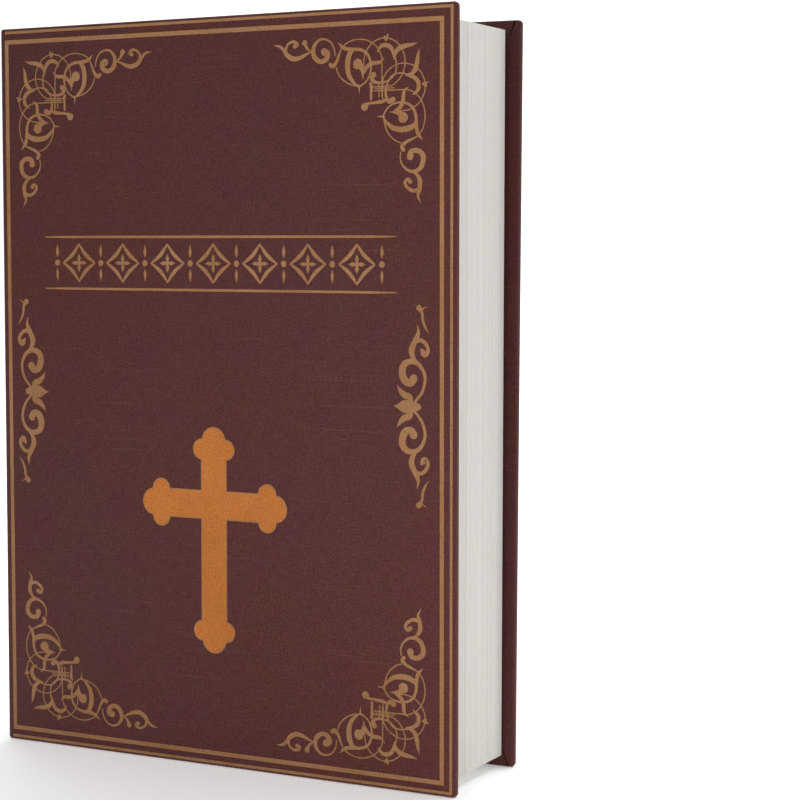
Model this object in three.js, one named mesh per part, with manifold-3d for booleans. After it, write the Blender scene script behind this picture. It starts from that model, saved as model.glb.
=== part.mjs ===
// Book diversion safe: a cloth-bound book whose windowed pages hide a steel box with a dial lock.
// Units are millimetres. The book stands on its tail edge: +X runs from the spine to the fore-edge,
// -Y is the side of the front cover, +Z is up, and the origin is the centre of the footprint.

import * as THREE from 'three';
import { mergeVertices } from 'three/addons/utils/BufferGeometryUtils.js';
import Module from 'manifold-3d';

const wasm = await Module();
wasm.setup();

// Book, outside
const bookHeight = 240;
const bookWidth = 169;
const bookThickness = 45;
const coverCornerRadius = 1.3;

// Layers of a cover, from the outside in
const foilThickness = 0.1;
const clothThickness = 0.4;
const boardThickness = 2.1;
const pastedownThickness = 0.4;
const turnInWidth = 14;
const hingeGap = 0.6;

// Gilding on the front cover
const thickRuleWidth = 1.4;
const thickRuleInset = 3.6;
const thickRuleSpineInset = 1.5;
const thickRuleForeInset = 5;
const thinRuleWidth = 0.9;
const thinRuleInset = 0.9;
const thinRuleForeInset = 1.6;
const crossWidth = 54.2;
const crossHeight = 73;
const crossBarWidth = 9.6;
const crossLobeRadius = 4.4;
const crossBarDrop = 25.2;
const crossTopHeight = 109.4;
const crossShift = -2.1;
const crossBudBackShare = 0.75;
const crossBudSideShare = 0.85;

// Page block
const foreEdgeSquare = 3.5;
const headSquare = 3.9;
const paperGap = 0.3;
const blockBackGap = 0.6;
const liningThickness = 0.4;
const spineHollow = 0.6;
const upperSections = 3;
const upperSectionThickness = 5.2;
const lowerSections = 2;
const leafGap = 0.15;
const gutterRim = 26;
const foreEdgeRim = 16;
const headRim = 15;

// Steel box
const sheet = 1;
const windowClearance = 1.2;
const skirtDepth = 4;
const skirtClearance = 0.4;
const fitGap = 0.3;
const adhesiveThickness = 0.6;
const adhesiveMargin = 6;
const panelHeadroom = 5.5;
const stepLean = 2;
const stepBack = 3.5;

// Lid hinge
const hingePinRadius = 1.2;
const hingeKnuckleRadius = 2.5;
const hingeLeafThickness = 0.8;
const hingeLeafWidth = 14;
const hingeKnuckles = 5;
const hingeKnuckleGap = 0.4;
const hingeMargin = 8;
const hingeAxisDrop = 0.5;
const runningGap = 0.2;
const rivetRadius = 1.5;
const rivetHeadRadius = 2.6;
const rivetHeadHeight = 0.8;
const rivetCrownShare = 0.7;
const rivetPlaceShare = 0.7;
const rivetsPerLeaf = 3;

// Lock plate and its knob
const plateWidth = 24;
const plateLength = 76;
const plateThickness = 2.2;
const plateCornerRadius = 1.5;
const plateFromWindow = 29;
const plateTrimInset = 1.1;
const plateTrimWidth = 0.7;
const plateTrimHeight = 0.15;
const knobFromWindow = 26;
const plateBeyondKnob = 14;
const knobHeadroom = 0.8;
const knobHeight = 11;
const knobRadius = 10.5;
const knobHeadHeight = 4.4;
const knobWaistRadius = 6.8;
const knobFootRadius = 8.8;
const knobFootHeight = 2.2;
const knobFlutes = 36;
const knobFluteDepth = 0.35;
const knobDishRadius = 7.6;
const knobDishDepth = 0.7;
const spindleRadius = 3;
const spindleClearance = 0.3;

// Dials
const dials = 3;
const dialRadius = 9;
const dialWidth = 5.6;
const dialPitch = 9.6;
const dialFromKnob = 22;
const dialProud = 1.2;
const dialFaces = 10;
const dialNotchDepth = 0.5;
const dialNotchShare = 0.22;
const slotClearance = 0.5;
const axleRadius = 1.5;
const sleeveRadius = 4;
const gateFlangeRadius = 5.2;
const gateFlangeThickness = 0.8;
const gateWidth = 2.2;

// Lock housing under the lid
const housingWidth = 24;
const housingWall = 1.5;
const housingDepth = 15.3;
const housingEndMargin = 1.5;
const housingCoverThickness = 1;
const postSize = 4.6;
const screwRadius = 0.9;
const screwHeadRadius = 1.9;
const screwHeadHeight = 1.1;
const screwSlotWidth = 0.5;
const screwSlotDepth = 0.5;
const bossRadius = 1.9;

// Fence, latch, detent and reset lever
const fenceTravel = 2.5;
const fenceBarThickness = 1.1;
const fenceBarWidth = 5;
const fenceToothWidth = 1.4;
const fenceToothLength = 0.9;
const eccentricRadius = 4.6;
const yokeWall = 1;
const camLength = 28;
const camWidth = 8;
const camThickness = 1.8;
const camHubRadius = 6;
const nutRadius = 4.8;
const nutThickness = 2;
const keeperLength = 13.5;
const keeperWidth = 14;
const keeperThickness = 1.2;
const keeperClearance = 0.6;
const detentThickness = 0.3;
const detentWidth = 3;
const detentBump = 0.6;
const resetTravel = 3;
const resetTabLength = 5;
const resetTabWidth = 3.4;
const resetTabHeight = 1.2;
const resetStemWidth = 1.6;
const resetFootThickness = 0.8;

const overrun = 1;
const fineSides = 36;
const roundSides = 20;
const smallSides = 12;

// Places worked out from the sizes above
const spineX = -bookWidth / 2;
const foreX = bookWidth / 2;
const frontY = -bookThickness / 2;
const backY = bookThickness / 2;
const clothFrontY = frontY + foilThickness;
const boardFrontY = clothFrontY + clothThickness;
const pastedownFrontY = boardFrontY + boardThickness;
const coverInnerY = pastedownFrontY + pastedownThickness;
const backInnerY = backY - clothThickness - boardThickness - pastedownThickness;
const blockTail = headSquare;
const blockHead = bookHeight - headSquare;
const blockFore = foreX - foreEdgeSquare;
const blockSpine = spineX + clothThickness + boardThickness + spineHollow + liningThickness;
const blockFrontY = coverInnerY + paperGap;
const blockBackY = backInnerY - blockBackGap;
const windowSpine = blockSpine + gutterRim;
const windowFore = blockFore - foreEdgeRim;
const windowTail = blockTail + headRim;
const windowHead = blockHead - headRim;

const boxSpine = windowSpine + windowClearance;
const boxFore = windowFore - windowClearance;
const boxTail = windowTail + windowClearance;
const boxHead = windowHead - windowClearance;
const ledgeY = coverInnerY + knobHeadroom + knobHeight + plateThickness;
const panelY = coverInnerY + panelHeadroom;
const trayFore = boxFore - sheet - skirtClearance;
const trayTail = boxTail + sheet + skirtClearance;
const trayHead = boxHead - sheet - skirtClearance;
const trayBackY = backInnerY - adhesiveThickness;
const trayFloorY = trayBackY - sheet;

const plateFore = windowFore - plateFromWindow;
const lockX = plateFore - plateWidth / 2;
const plateY = ledgeY - plateThickness;
const knobZ = windowHead - knobFromWindow;
const plateHead = knobZ + plateBeyondKnob;
const plateTail = plateHead - plateLength;
const stepFootX = plateFore - plateWidth - stepBack + stepLean;
const stepHeadX = stepFootX - stepLean;

const hingeX = boxSpine + sheet + fitGap + hingeKnuckleRadius;
const hingeY = panelY + hingeAxisDrop;
const hingeTail = boxTail + hingeMargin;
const hingeHead = boxHead - hingeMargin;
const lidSpine = hingeX + hingeKnuckleRadius + 2 * fitGap;

const dialAxisY = plateY - dialProud + dialRadius;
const firstDialZ = knobZ - dialFromKnob - (dials - 1) * dialPitch;
const gateFlangeOffset = dialWidth / 2 + (dialPitch - dialWidth - gateFlangeThickness) / 2;
const housingTopY = ledgeY + sheet;
const housingBackY = housingTopY + housingDepth;
const housingTail = plateTail + housingEndMargin;
const housingHead = plateHead - housingEndMargin;
const partitionTail = knobZ - dialFromKnob + dialPitch - dialWidth / 2;
const coverBackY = housingBackY + housingCoverThickness;
const camFrontY = coverBackY + 2 * fitGap;
const camBackY = camFrontY + camThickness;
const fenceBackY = housingBackY - fitGap;
const fenceFrontY = fenceBackY - fenceBarThickness;

// Solids and booleans

function solid(geometry) {
  const bare = geometry.clone();
  bare.deleteAttribute('normal');
  bare.deleteAttribute('uv');
  const merged = mergeVertices(bare);
  return new wasm.Manifold(new wasm.Mesh({
    numProp: 3,
    vertProperties: Float32Array.from(merged.attributes.position.array),
    triVerts: Uint32Array.from(merged.index.array),
  }));
}

function geometryOf(body) {
  const mesh = body.getMesh();
  const geometry = new THREE.BufferGeometry();
  geometry.setAttribute('position', new THREE.BufferAttribute(mesh.vertProperties, 3));
  geometry.setIndex(new THREE.BufferAttribute(mesh.triVerts, 1));
  geometry.computeVertexNormals();
  return geometry;
}

function join(...geometries) {
  return geometryOf(geometries.map(solid).reduce((whole, piece) => whole.add(piece)));
}

function cut(geometry, ...tools) {
  return geometryOf(tools.map(solid).reduce((whole, tool) => whole.subtract(tool), solid(geometry)));
}

function block([x0, x1], [y0, y1], [z0, z1]) {
  const box = new THREE.BoxGeometry(x1 - x0, y1 - y0, z1 - z0);
  return box.translate((x0 + x1) / 2, (y0 + y1) / 2, (z0 + z1) / 2);
}

// A rod along Z, X or Y through the given centre, between two places on that axis.
function rodZ(x, y, radius, [z0, z1], sides = roundSides) {
  const rod = new THREE.CylinderGeometry(radius, radius, z1 - z0, sides).rotateX(Math.PI / 2);
  return rod.translate(x, y, (z0 + z1) / 2);
}

function rodX(y, z, radius, [x0, x1], sides = roundSides) {
  const rod = new THREE.CylinderGeometry(radius, radius, x1 - x0, sides).rotateZ(Math.PI / 2);
  return rod.translate((x0 + x1) / 2, y, z);
}

function rodY(x, z, radius, [y0, y1], sides = roundSides) {
  return new THREE.CylinderGeometry(radius, radius, y1 - y0, sides).translate(x, (y0 + y1) / 2, z);
}

// An outline in X and Y, carried along Z.
function prismZ(points, [z0, z1]) {
  const shape = new THREE.Shape(points.map(([x, y]) => new THREE.Vector2(x, y)));
  return new THREE.ExtrudeGeometry(shape, { depth: z1 - z0, bevelEnabled: false }).translate(0, 0, z0);
}

// A shape drawn in X and Z as seen from the front, carried along Y from y0 to y1.
function plateXZ(shape, [y0, y1], curveSegments = 6) {
  const flat = new THREE.ExtrudeGeometry(shape, { depth: y1 - y0, bevelEnabled: false, curveSegments });
  return flat.rotateX(Math.PI / 2).translate(0, y1, 0);
}

function roundedRectangle([x0, x1], [z0, z1], radius, spineRadius = radius) {
  const shape = new THREE.Shape();
  const corner = (x, z, size, start) => {
    if (size > 0) {
      shape.absarc(x, z, size, start, start + Math.PI / 2, false);
    } else {
      shape.lineTo(x, z);
    }
  };
  shape.moveTo(x0 + spineRadius, z0);
  corner(x1 - radius, z0 + radius, radius, -Math.PI / 2);
  corner(x1 - radius, z1 - radius, radius, 0);
  corner(x0 + spineRadius, z1 - spineRadius, spineRadius, Math.PI / 2);
  corner(x0 + spineRadius, z0 + spineRadius, spineRadius, Math.PI);
  shape.closePath();
  return shape;
}

// Materials

const finishes = {
  cloth: { color: 0x5a3433, roughness: 0.75, metalness: 0 },
  gilt: { color: 0xb0803f, roughness: 0.5, metalness: 0.2 },
  board: { color: 0x8d8375, roughness: 0.9, metalness: 0 },
  paper: { color: 0xe4e0d8, roughness: 0.9, metalness: 0 },
  lining: { color: 0xb59b77, roughness: 0.9, metalness: 0 },
  adhesive: { color: 0xd8d2c0, roughness: 0.8, metalness: 0 },
  paintedSteel: { color: 0x5a5c60, roughness: 0.6, metalness: 0.2 },
  bareSteel: { color: 0xb8babc, roughness: 0.35, metalness: 0.9 },
  blackPlate: { color: 0x1b1b1d, roughness: 0.4, metalness: 0.1 },
  blackPlastic: { color: 0x161617, roughness: 0.45, metalness: 0 },
  goldTrim: { color: 0xc29a45, roughness: 0.35, metalness: 0.8 },
};

const book = new THREE.Group();

function place(name, geometry, finish) {
  const mesh = new THREE.Mesh(geometry, new THREE.MeshStandardMaterial(finishes[finish]));
  mesh.name = name;
  book.add(mesh);
}

// Covers: board, cloth wrapped round its edges, and pastedown inside the turned-in cloth

function coverBoard([y0, y1]) {
  const inset = clothThickness;
  const outline = roundedRectangle([spineX + inset + hingeGap, foreX - inset],
    [inset, bookHeight - inset], coverCornerRadius - inset, 0);
  return plateXZ(outline, [y0, y1]);
}

function coverCloth([outerY, boardOuterY], [boardInnerY, lipY]) {
  const whole = roundedRectangle([spineX + hingeGap, foreX], [0, bookHeight], coverCornerRadius, 0);
  const lipWindow = block([spineX, foreX - turnInWidth], [boardInnerY, lipY].sort((a, b) => a - b),
    [turnInWidth, bookHeight - turnInWidth]);
  const outside = lipY > outerY ? [outerY, lipY] : [lipY, outerY];
  const inside = boardInnerY > boardOuterY ? [boardOuterY, boardInnerY] : [boardInnerY, boardOuterY];
  const spineStrip = [spineX, spineX + clothThickness + hingeGap];
  const beyondEnds = [-overrun, bookHeight + overrun];
  const spineSide = block(spineStrip, inside, beyondEnds);
  const lipSpine = block(spineStrip, [boardInnerY, lipY].sort((a, b) => a - b), beyondEnds);
  return cut(plateXZ(whole, outside), coverBoard(inside), spineSide, lipSpine, lipWindow);
}

function pastedown(yRange) {
  return block([spineX + clothThickness + hingeGap, foreX - turnInWidth], yRange,
    [turnInWidth, bookHeight - turnInWidth]);
}

// Spine: board, cloth turned in at head and tail, and the paper lining on the block's back

function spineParts() {
  const innerFront = coverInnerY + fitGap;
  const innerBack = backInnerY;
  const boardX = spineX + clothThickness;
  const turnInX = [spineX, boardX + boardThickness];
  const board = block([boardX, boardX + boardThickness], [innerFront, innerBack],
    [clothThickness, bookHeight - clothThickness]);
  const wrap = join(
    block([spineX, boardX], [frontY, backY - clothThickness], [0, bookHeight]),
    block(turnInX, [innerFront, innerBack], [0, clothThickness]),
    block(turnInX, [innerFront, innerBack], [bookHeight - clothThickness, bookHeight]),
  );
  const lining = block([blockSpine - liningThickness, blockSpine], [blockFrontY, backInnerY],
    [blockTail, blockHead]);
  return { board, wrap, lining };
}

// Pages: rings round the window, the upper ones free to turn

function pageSection([y0, y1]) {
  return cut(block([blockSpine, blockFore], [y0, y1], [blockTail, blockHead]),
    block([windowSpine, windowFore], [y0 - overrun, y1 + overrun], [windowTail, windowHead]));
}

function upperSectionPlace(index) {
  const start = blockFrontY + index * upperSectionThickness;
  return [start, start + upperSectionThickness - leafGap];
}

function lowerSectionPlace(index) {
  const top = blockFrontY + upperSections * upperSectionThickness;
  const share = (blockBackY - top) / lowerSections;
  return [top + index * share, top + (index + 1) * share - (index < lowerSections - 1 ? leafGap : 0)];
}

// Gilding: two rules and the budded cross

function ruleFrame([x0, x1], [z0, z1], width) {
  const outline = roundedRectangle([x0, x1], [z0, z1], 0);
  outline.holes.push(roundedRectangle([x0 + width, x1 - width], [z0 + width, z1 - width], 0));
  return plateXZ(outline, [frontY, clothFrontY]);
}

function thinRule() {
  const fore = foreX - thinRuleForeInset;
  const spine = spineX + thinRuleForeInset;
  const upright = block([fore - thinRuleWidth, fore], [frontY, clothFrontY],
    [thinRuleInset, bookHeight - thinRuleInset]);
  const tail = block([spine, fore], [frontY, clothFrontY], [thinRuleInset, thinRuleInset + thinRuleWidth]);
  const head = block([spine, fore], [frontY, clothFrontY],
    [bookHeight - thinRuleInset - thinRuleWidth, bookHeight - thinRuleInset]);
  return join(upright, tail, head);
}

function crossGeometry() {
  const top = crossTopHeight;
  const foot = crossTopHeight - crossHeight;
  const barZ = top - crossBarDrop;
  const [left, right] = [crossShift - crossWidth / 2, crossShift + crossWidth / 2];
  const half = crossBarWidth / 2;
  const budReach = crossLobeRadius;
  const yRange = [frontY, clothFrontY];
  const shaft = block([crossShift - half, crossShift + half], yRange, [foot + budReach, top - budReach]);
  const bar = block([left + budReach, right - budReach], yRange, [barZ - half, barZ + half]);
  const buds = [];
  const addBuds = (x, z, alongX, alongZ) => {
    const sideX = alongZ !== 0 ? half * crossBudSideShare : 0;
    const sideZ = alongX !== 0 ? half * crossBudSideShare : 0;
    const backX = x - alongX * budReach * crossBudBackShare;
    const backZ = z - alongZ * budReach * crossBudBackShare;
    buds.push(rodY(x, z, budReach, yRange, smallSides));
    buds.push(rodY(backX + sideX, backZ + sideZ, budReach, yRange, smallSides));
    buds.push(rodY(backX - sideX, backZ - sideZ, budReach, yRange, smallSides));
  };
  addBuds(crossShift, top - budReach, 0, 1);
  addBuds(crossShift, foot + budReach, 0, -1);
  addBuds(left + budReach, barZ, -1, 0);
  addBuds(right - budReach, barZ, 1, 0);
  return join(shaft, bar, ...buds);
}

// Steel box: tray with a stepped rim

function tray() {
  const highRim = panelY + sheet + fitGap;
  const lowRim = ledgeY + sheet + fitGap;
  const stepX = stepHeadX - sheet - 2 * fitGap;
  const shell = prismZ([[boxSpine, highRim], [stepX, highRim], [stepX, lowRim], [trayFore, lowRim],
    [trayFore, trayBackY], [boxSpine, trayBackY]], [trayTail, trayHead]);
  const hollow = block([boxSpine + sheet, trayFore - sheet], [highRim - overrun, trayFloorY],
    [trayTail + sheet, trayHead - sheet]);
  return cut(shell, hollow);
}

function adhesivePad() {
  return block([boxSpine + adhesiveMargin, trayFore - adhesiveMargin], [trayBackY, backInnerY],
    [trayTail + adhesiveMargin, trayHead - adhesiveMargin]);
}

// Lid: one pressed sheet, a raised panel, a leaning step, a ledge and skirts on three sides

function lidPanel() {
  const lean = sheet * Math.hypot(stepLean, ledgeY - panelY) / (ledgeY - panelY);
  const pressing = prismZ([[lidSpine, panelY], [stepHeadX, panelY], [stepFootX, ledgeY], [boxFore, ledgeY],
    [boxFore, ledgeY + skirtDepth], [stepFootX - lean, ledgeY + skirtDepth],
    [stepHeadX - lean, panelY + skirtDepth], [lidSpine, panelY + skirtDepth]], [boxTail, boxHead]);
  const below = ledgeY + skirtDepth + overrun;
  const inside = prismZ([[lidSpine - overrun, panelY + sheet], [stepHeadX - lean, panelY + sheet],
    [stepFootX - lean, ledgeY + sheet], [boxFore - sheet, ledgeY + sheet], [boxFore - sheet, below],
    [lidSpine - overrun, below]], [boxTail + sheet, boxHead - sheet]);
  const through = [ledgeY - overrun, ledgeY + sheet + overrun];
  const dialWindow = block([lockX - dialRadius, lockX + dialRadius], through,
    [firstDialZ - dialWidth, partitionTail]);
  const spindleHole = rodY(lockX, knobZ, spindleRadius + spindleClearance, through);
  const bossHoles = screwPlaces().map(([x, z]) => rodY(x, z, bossRadius + fitGap, through, smallSides));
  return cut(pressing, inside, dialWindow, spindleHole, ...bossHoles);
}

// Lid hinge: two leaves with alternating knuckles on one pin

function knucklePlace(index) {
  const length = (hingeHead - hingeTail - (hingeKnuckles - 1) * hingeKnuckleGap) / hingeKnuckles;
  const start = hingeTail + index * (length + hingeKnuckleGap);
  return [start, start + length];
}

function rivetPlaces(leafParity) {
  const own = [...Array(hingeKnuckles).keys()].filter((index) => index % 2 === leafParity);
  const [first, last] = [knucklePlace(own[0]), knucklePlace(own[own.length - 1])];
  const from = (first[0] + first[1]) / 2;
  const to = (last[0] + last[1]) / 2;
  return [...Array(rivetsPerLeaf).keys()].map((index) => from + (to - from) * index / (rivetsPerLeaf - 1));
}

function knuckles(parity) {
  const own = [...Array(hingeKnuckles).keys()].filter((index) => index % 2 === parity);
  return own.map((index) => rodZ(hingeX, hingeY, hingeKnuckleRadius, knucklePlace(index)));
}

function pinBore() {
  return rodZ(hingeX, hingeY, hingePinRadius + runningGap,
    [hingeTail - overrun, hingeHead + overrun], smallSides);
}

function fixedLeaf() {
  const x0 = hingeX - hingeKnuckleRadius;
  const xRange = [x0, x0 + hingeLeafThickness];
  const clearY = hingeY + hingeKnuckleRadius + 2 * fitGap;
  const plate = block(xRange, [clearY, hingeY + hingeLeafWidth], [hingeTail, hingeHead]);
  const own = [...Array(hingeKnuckles).keys()].filter((index) => index % 2 === 0);
  const tongues = own.map((index) => block(xRange, [hingeY, clearY + fitGap], knucklePlace(index)));
  const rivetLineY = hingeY + hingeLeafWidth * rivetPlaceShare;
  const holes = rivetPlaces(0).map((z) => rodX(rivetLineY, z, rivetRadius + runningGap,
    [x0 - overrun, x0 + hingeLeafThickness + overrun], smallSides));
  return cut(join(plate, ...knuckles(0), ...tongues), pinBore(), ...holes);
}

function movingLeaf() {
  const y0 = panelY + sheet;
  const yRange = [y0, y0 + hingeLeafThickness];
  const clearX = hingeX + hingeKnuckleRadius + 2 * fitGap;
  const plate = block([clearX, hingeX + hingeLeafWidth], yRange, [hingeTail, hingeHead]);
  const own = [...Array(hingeKnuckles).keys()].filter((index) => index % 2 === 1);
  const tongues = own.map((index) => block([hingeX, clearX + fitGap], yRange, knucklePlace(index)));
  const rivetLineX = hingeX + hingeLeafWidth * rivetPlaceShare;
  const holes = rivetPlaces(1).map((z) => rodY(rivetLineX, z, rivetRadius + runningGap,
    [y0 - overrun, y0 + hingeLeafThickness + overrun], smallSides));
  return cut(join(plate, ...knuckles(1), ...tongues), pinBore(), ...holes);
}

// Places of the four screws that hold the lock together
function screwPlaces() {
  const reach = housingWidth / 2 - postSize / 2;
  const ends = [housingTail + postSize / 2, housingHead - postSize / 2];
  return ends.flatMap((z) => [[lockX - reach, z], [lockX + reach, z]]);
}

// Lock plate with dial slots, spindle hole and screw bosses

function lockPlate() {
  const yRange = [plateY, ledgeY];
  const body = plateXZ(roundedRectangle([lockX - plateWidth / 2, plateFore], [plateTail, plateHead],
    plateCornerRadius), yRange);
  const bosses = screwPlaces().map(([x, z]) => rodY(x, z, bossRadius,
    [ledgeY - fitGap, ledgeY + sheet], smallSides));
  const through = [plateY - overrun, ledgeY + overrun];
  const depth = dialRadius - dialProud - plateThickness;
  const reach = Math.sqrt(dialRadius ** 2 - depth ** 2) + slotClearance;
  const slots = dialPlaces().map((z) => block([lockX - reach, lockX + reach], through,
    [z - dialWidth / 2 - slotClearance, z + dialWidth / 2 + slotClearance]));
  const spindleHole = rodY(lockX, knobZ, spindleRadius + spindleClearance, through);
  const screwBores = screwPlaces().map(([x, z]) => rodY(x, z, screwRadius + fitGap,
    [ledgeY - plateThickness / 2, ledgeY + sheet + overrun], smallSides));
  return cut(join(body, ...bosses), ...slots, spindleHole, ...screwBores);
}

function plateTrim() {
  const ring = (inset) => roundedRectangle([lockX - plateWidth / 2 + inset, plateFore - inset],
    [plateTail + inset, plateHead - inset], plateCornerRadius / 2);
  const outline = ring(plateTrimInset);
  outline.holes.push(ring(plateTrimInset + plateTrimWidth));
  return plateXZ(outline, [plateY - plateTrimHeight, plateY]);
}

// Dials, their sleeves with gate flanges, and the axle

function dialPlaces() {
  return [...Array(dials).keys()].map((index) => firstDialZ + index * dialPitch);
}

function dialRing(z) {
  const turn = 2 * Math.PI / dialFaces;
  const point = (angle, radius) => new THREE.Vector2(radius * Math.cos(angle), radius * Math.sin(angle));
  const outline = [];
  for (let face = 0; face < dialFaces; face += 1) {
    const start = (face + 0.5) * turn;
    outline.push(point(start, dialRadius - dialNotchDepth));
    outline.push(point(start + dialNotchShare * turn, dialRadius));
    outline.push(point(start + turn / 2, dialRadius));
    outline.push(point(start + (1 - dialNotchShare) * turn, dialRadius));
  }
  const shape = new THREE.Shape(outline);
  shape.holes.push(new THREE.Path().absarc(0, 0, sleeveRadius + fitGap, 0, 2 * Math.PI, true));
  const ring = new THREE.ExtrudeGeometry(shape, { depth: dialWidth, bevelEnabled: false, curveSegments: 12 });
  return ring.translate(lockX, dialAxisY, z - dialWidth / 2);
}

function dialSleeve(z) {
  const head = z + dialPitch - dialWidth / 2 - fitGap;
  const tube = rodZ(lockX, dialAxisY, sleeveRadius, [z - dialWidth / 2, head]);
  const flangeStart = z + gateFlangeOffset;
  const flange = rodZ(lockX, dialAxisY, gateFlangeRadius, [flangeStart, flangeStart + gateFlangeThickness]);
  const bore = rodZ(lockX, dialAxisY, axleRadius + runningGap, [z - dialPitch, z + dialPitch], smallSides);
  const gate = block([lockX - gateWidth / 2, lockX + gateWidth / 2],
    [dialAxisY + sleeveRadius, dialAxisY + gateFlangeRadius + overrun],
    [flangeStart - runningGap, flangeStart + gateFlangeThickness + runningGap]);
  return cut(join(tube, flange), bore, gate);
}

// Housing: four walls with corner posts and a partition that carries the axle

function lockHousing() {
  const half = housingWidth / 2;
  const outside = block([lockX - half, lockX + half], [housingTopY, housingBackY],
    [housingTail, housingHead]);
  const through = [housingTopY - overrun, housingBackY + overrun];
  const hollowX = [lockX - half + housingWall, lockX + half - housingWall];
  const dialRoom = block(hollowX, through, [housingTail + housingWall, partitionTail]);
  const knobRoom = block(hollowX, through, [partitionTail + housingWall, housingHead - housingWall]);
  const posts = screwPlaces().map(([x, z]) => block([x - postSize / 2, x + postSize / 2],
    [housingTopY, housingBackY], [z - postSize / 2, z + postSize / 2]));
  const bores = screwPlaces().map(([x, z]) => rodY(x, z, screwRadius + fitGap, through, smallSides));
  const axleBore = rodZ(lockX, dialAxisY, axleRadius + runningGap,
    [housingTail - overrun, partitionTail + housingWall + overrun], smallSides);
  const barPassage = block([lockX - fenceBarWidth / 2 - fitGap, lockX + fenceBarWidth / 2 + fitGap],
    [fenceFrontY - fitGap, housingBackY + overrun],
    [partitionTail - overrun, partitionTail + housingWall + overrun]);
  return cut(join(cut(outside, dialRoom, knobRoom), ...posts), ...bores, axleBore, barPassage);
}

function housingCover() {
  const half = housingWidth / 2;
  const plate = block([lockX - half, lockX + half], [housingBackY, coverBackY], [housingTail, housingHead]);
  const through = [housingBackY - overrun, coverBackY + overrun];
  const holes = screwPlaces().map(([x, z]) => rodY(x, z, screwRadius + fitGap, through, smallSides));
  const spindleHole = rodY(lockX, knobZ, spindleRadius + spindleClearance, through);
  const resetSlot = block([lockX - resetStemWidth / 2 - fitGap, lockX + resetStemWidth / 2 + fitGap], through,
    [resetZ() - resetTabLength / 2, resetZ() + resetTabLength / 2 + resetTravel]);
  return cut(plate, ...holes, spindleHole, resetSlot);
}

function dialAxle() {
  const inset = housingWall / 4;
  return rodZ(lockX, dialAxisY, axleRadius,
    [housingTail + inset, partitionTail + housingWall - inset], smallSides);
}

function housingScrew([x, z]) {
  const tip = ledgeY - plateThickness / 2 + fitGap;
  const shank = rodY(x, z, screwRadius, [tip, coverBackY + runningGap], smallSides);
  const head = rodY(x, z, screwHeadRadius, [coverBackY, coverBackY + screwHeadHeight], smallSides);
  const slot = block([x - screwHeadRadius, x + screwHeadRadius],
    [coverBackY + screwHeadHeight - screwSlotDepth, coverBackY + screwHeadHeight + overrun],
    [z - screwSlotWidth / 2, z + screwSlotWidth / 2]);
  return cut(join(shank, head), slot);
}

// Detent strip with one bump resting beside each dial's notches

function detentSpring() {
  const bumpTip = lockX - dialRadius - runningGap;
  const stripBack = bumpTip - detentBump;
  const yRange = [dialAxisY - detentWidth / 2, dialAxisY + detentWidth / 2];
  const strip = block([stripBack - detentThickness, stripBack], yRange,
    [housingTail + postSize + fitGap, partitionTail - fitGap]);
  const bumps = dialPlaces().map((z) => prismZ([[stripBack - detentThickness / 2, dialAxisY - detentBump],
    [stripBack, dialAxisY - detentBump], [bumpTip, dialAxisY], [stripBack, dialAxisY + detentBump],
    [stripBack - detentThickness / 2, dialAxisY + detentBump]], [z - dialWidth / 4, z + dialWidth / 4]));
  return join(strip, ...bumps);
}

// Fence: a bar whose teeth pass through the gates, driven by the spindle's eccentric

function fenceBar() {
  const throwZ = fenceTravel / 2;
  const yokeX = eccentricRadius + fenceTravel / Math.SQRT2 + fitGap;
  const yokeZ = eccentricRadius + fitGap;
  const yokeCentre = knobZ - throwZ;
  const yRange = [fenceFrontY, fenceBackY];
  const wide = (reach) => [lockX - reach, lockX + reach];
  const yokeFrame = block(wide(yokeX + yokeWall), yRange,
    [yokeCentre - yokeZ - yokeWall, yokeCentre + yokeZ + yokeWall]);
  const yokeWindow = block(wide(yokeX), [fenceFrontY - overrun, fenceBackY + overrun],
    [yokeCentre - yokeZ, yokeCentre + yokeZ]);
  const yoke = cut(yokeFrame, yokeWindow);
  const bar = block(wide(fenceBarWidth / 2), yRange,
    [firstDialZ - dialWidth / 2, yokeCentre - yokeZ - yokeWall / 2]);
  const teeth = dialPlaces().map((z) => {
    const passed = (fenceTravel - gateFlangeThickness - fenceToothLength) / 2;
    const end = z + gateFlangeOffset - passed;
    return block(wide(fenceToothWidth / 2), [dialAxisY + sleeveRadius + fitGap, fenceFrontY + fitGap],
      [end - fenceToothLength, end]);
  });
  return join(yoke, bar, ...teeth);
}

// Knob, spindle with eccentric, latch cam and nut

function knob() {
  const foot = plateY - fitGap;
  const height = knobHeight - fitGap;
  const headBase = foot - height + knobHeadHeight;
  const profile = [[0, headBase - fitGap], [knobRadius - knobFluteDepth, headBase - fitGap],
    [knobWaistRadius, headBase + knobHeadHeight / 4], [knobWaistRadius, foot - knobFootHeight],
    [knobFootRadius, foot - knobFootHeight / 2], [knobFootRadius, foot], [0, foot]];
  const stem = new THREE.LatheGeometry(profile.map(([r, y]) => new THREE.Vector2(r, y)), fineSides);
  stem.translate(lockX, 0, knobZ);
  const rim = [];
  for (let step = 0; step < knobFlutes * 2; step += 1) {
    const angle = step * Math.PI / knobFlutes;
    const radius = step % 2 === 0 ? knobRadius : knobRadius - knobFluteDepth;
    rim.push(new THREE.Vector2(lockX + radius * Math.cos(angle), knobZ + radius * Math.sin(angle)));
  }
  const head = plateXZ(new THREE.Shape(rim), [foot - height, headBase]);
  const dish = rodY(lockX, knobZ, knobDishRadius,
    [foot - height - overrun, foot - height + knobDishDepth], fineSides);
  const bore = rodY(lockX, knobZ, spindleRadius + spindleClearance,
    [foot - height + knobHeadHeight / 2, foot + overrun]);
  return cut(join(stem, head), dish, bore);
}

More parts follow.
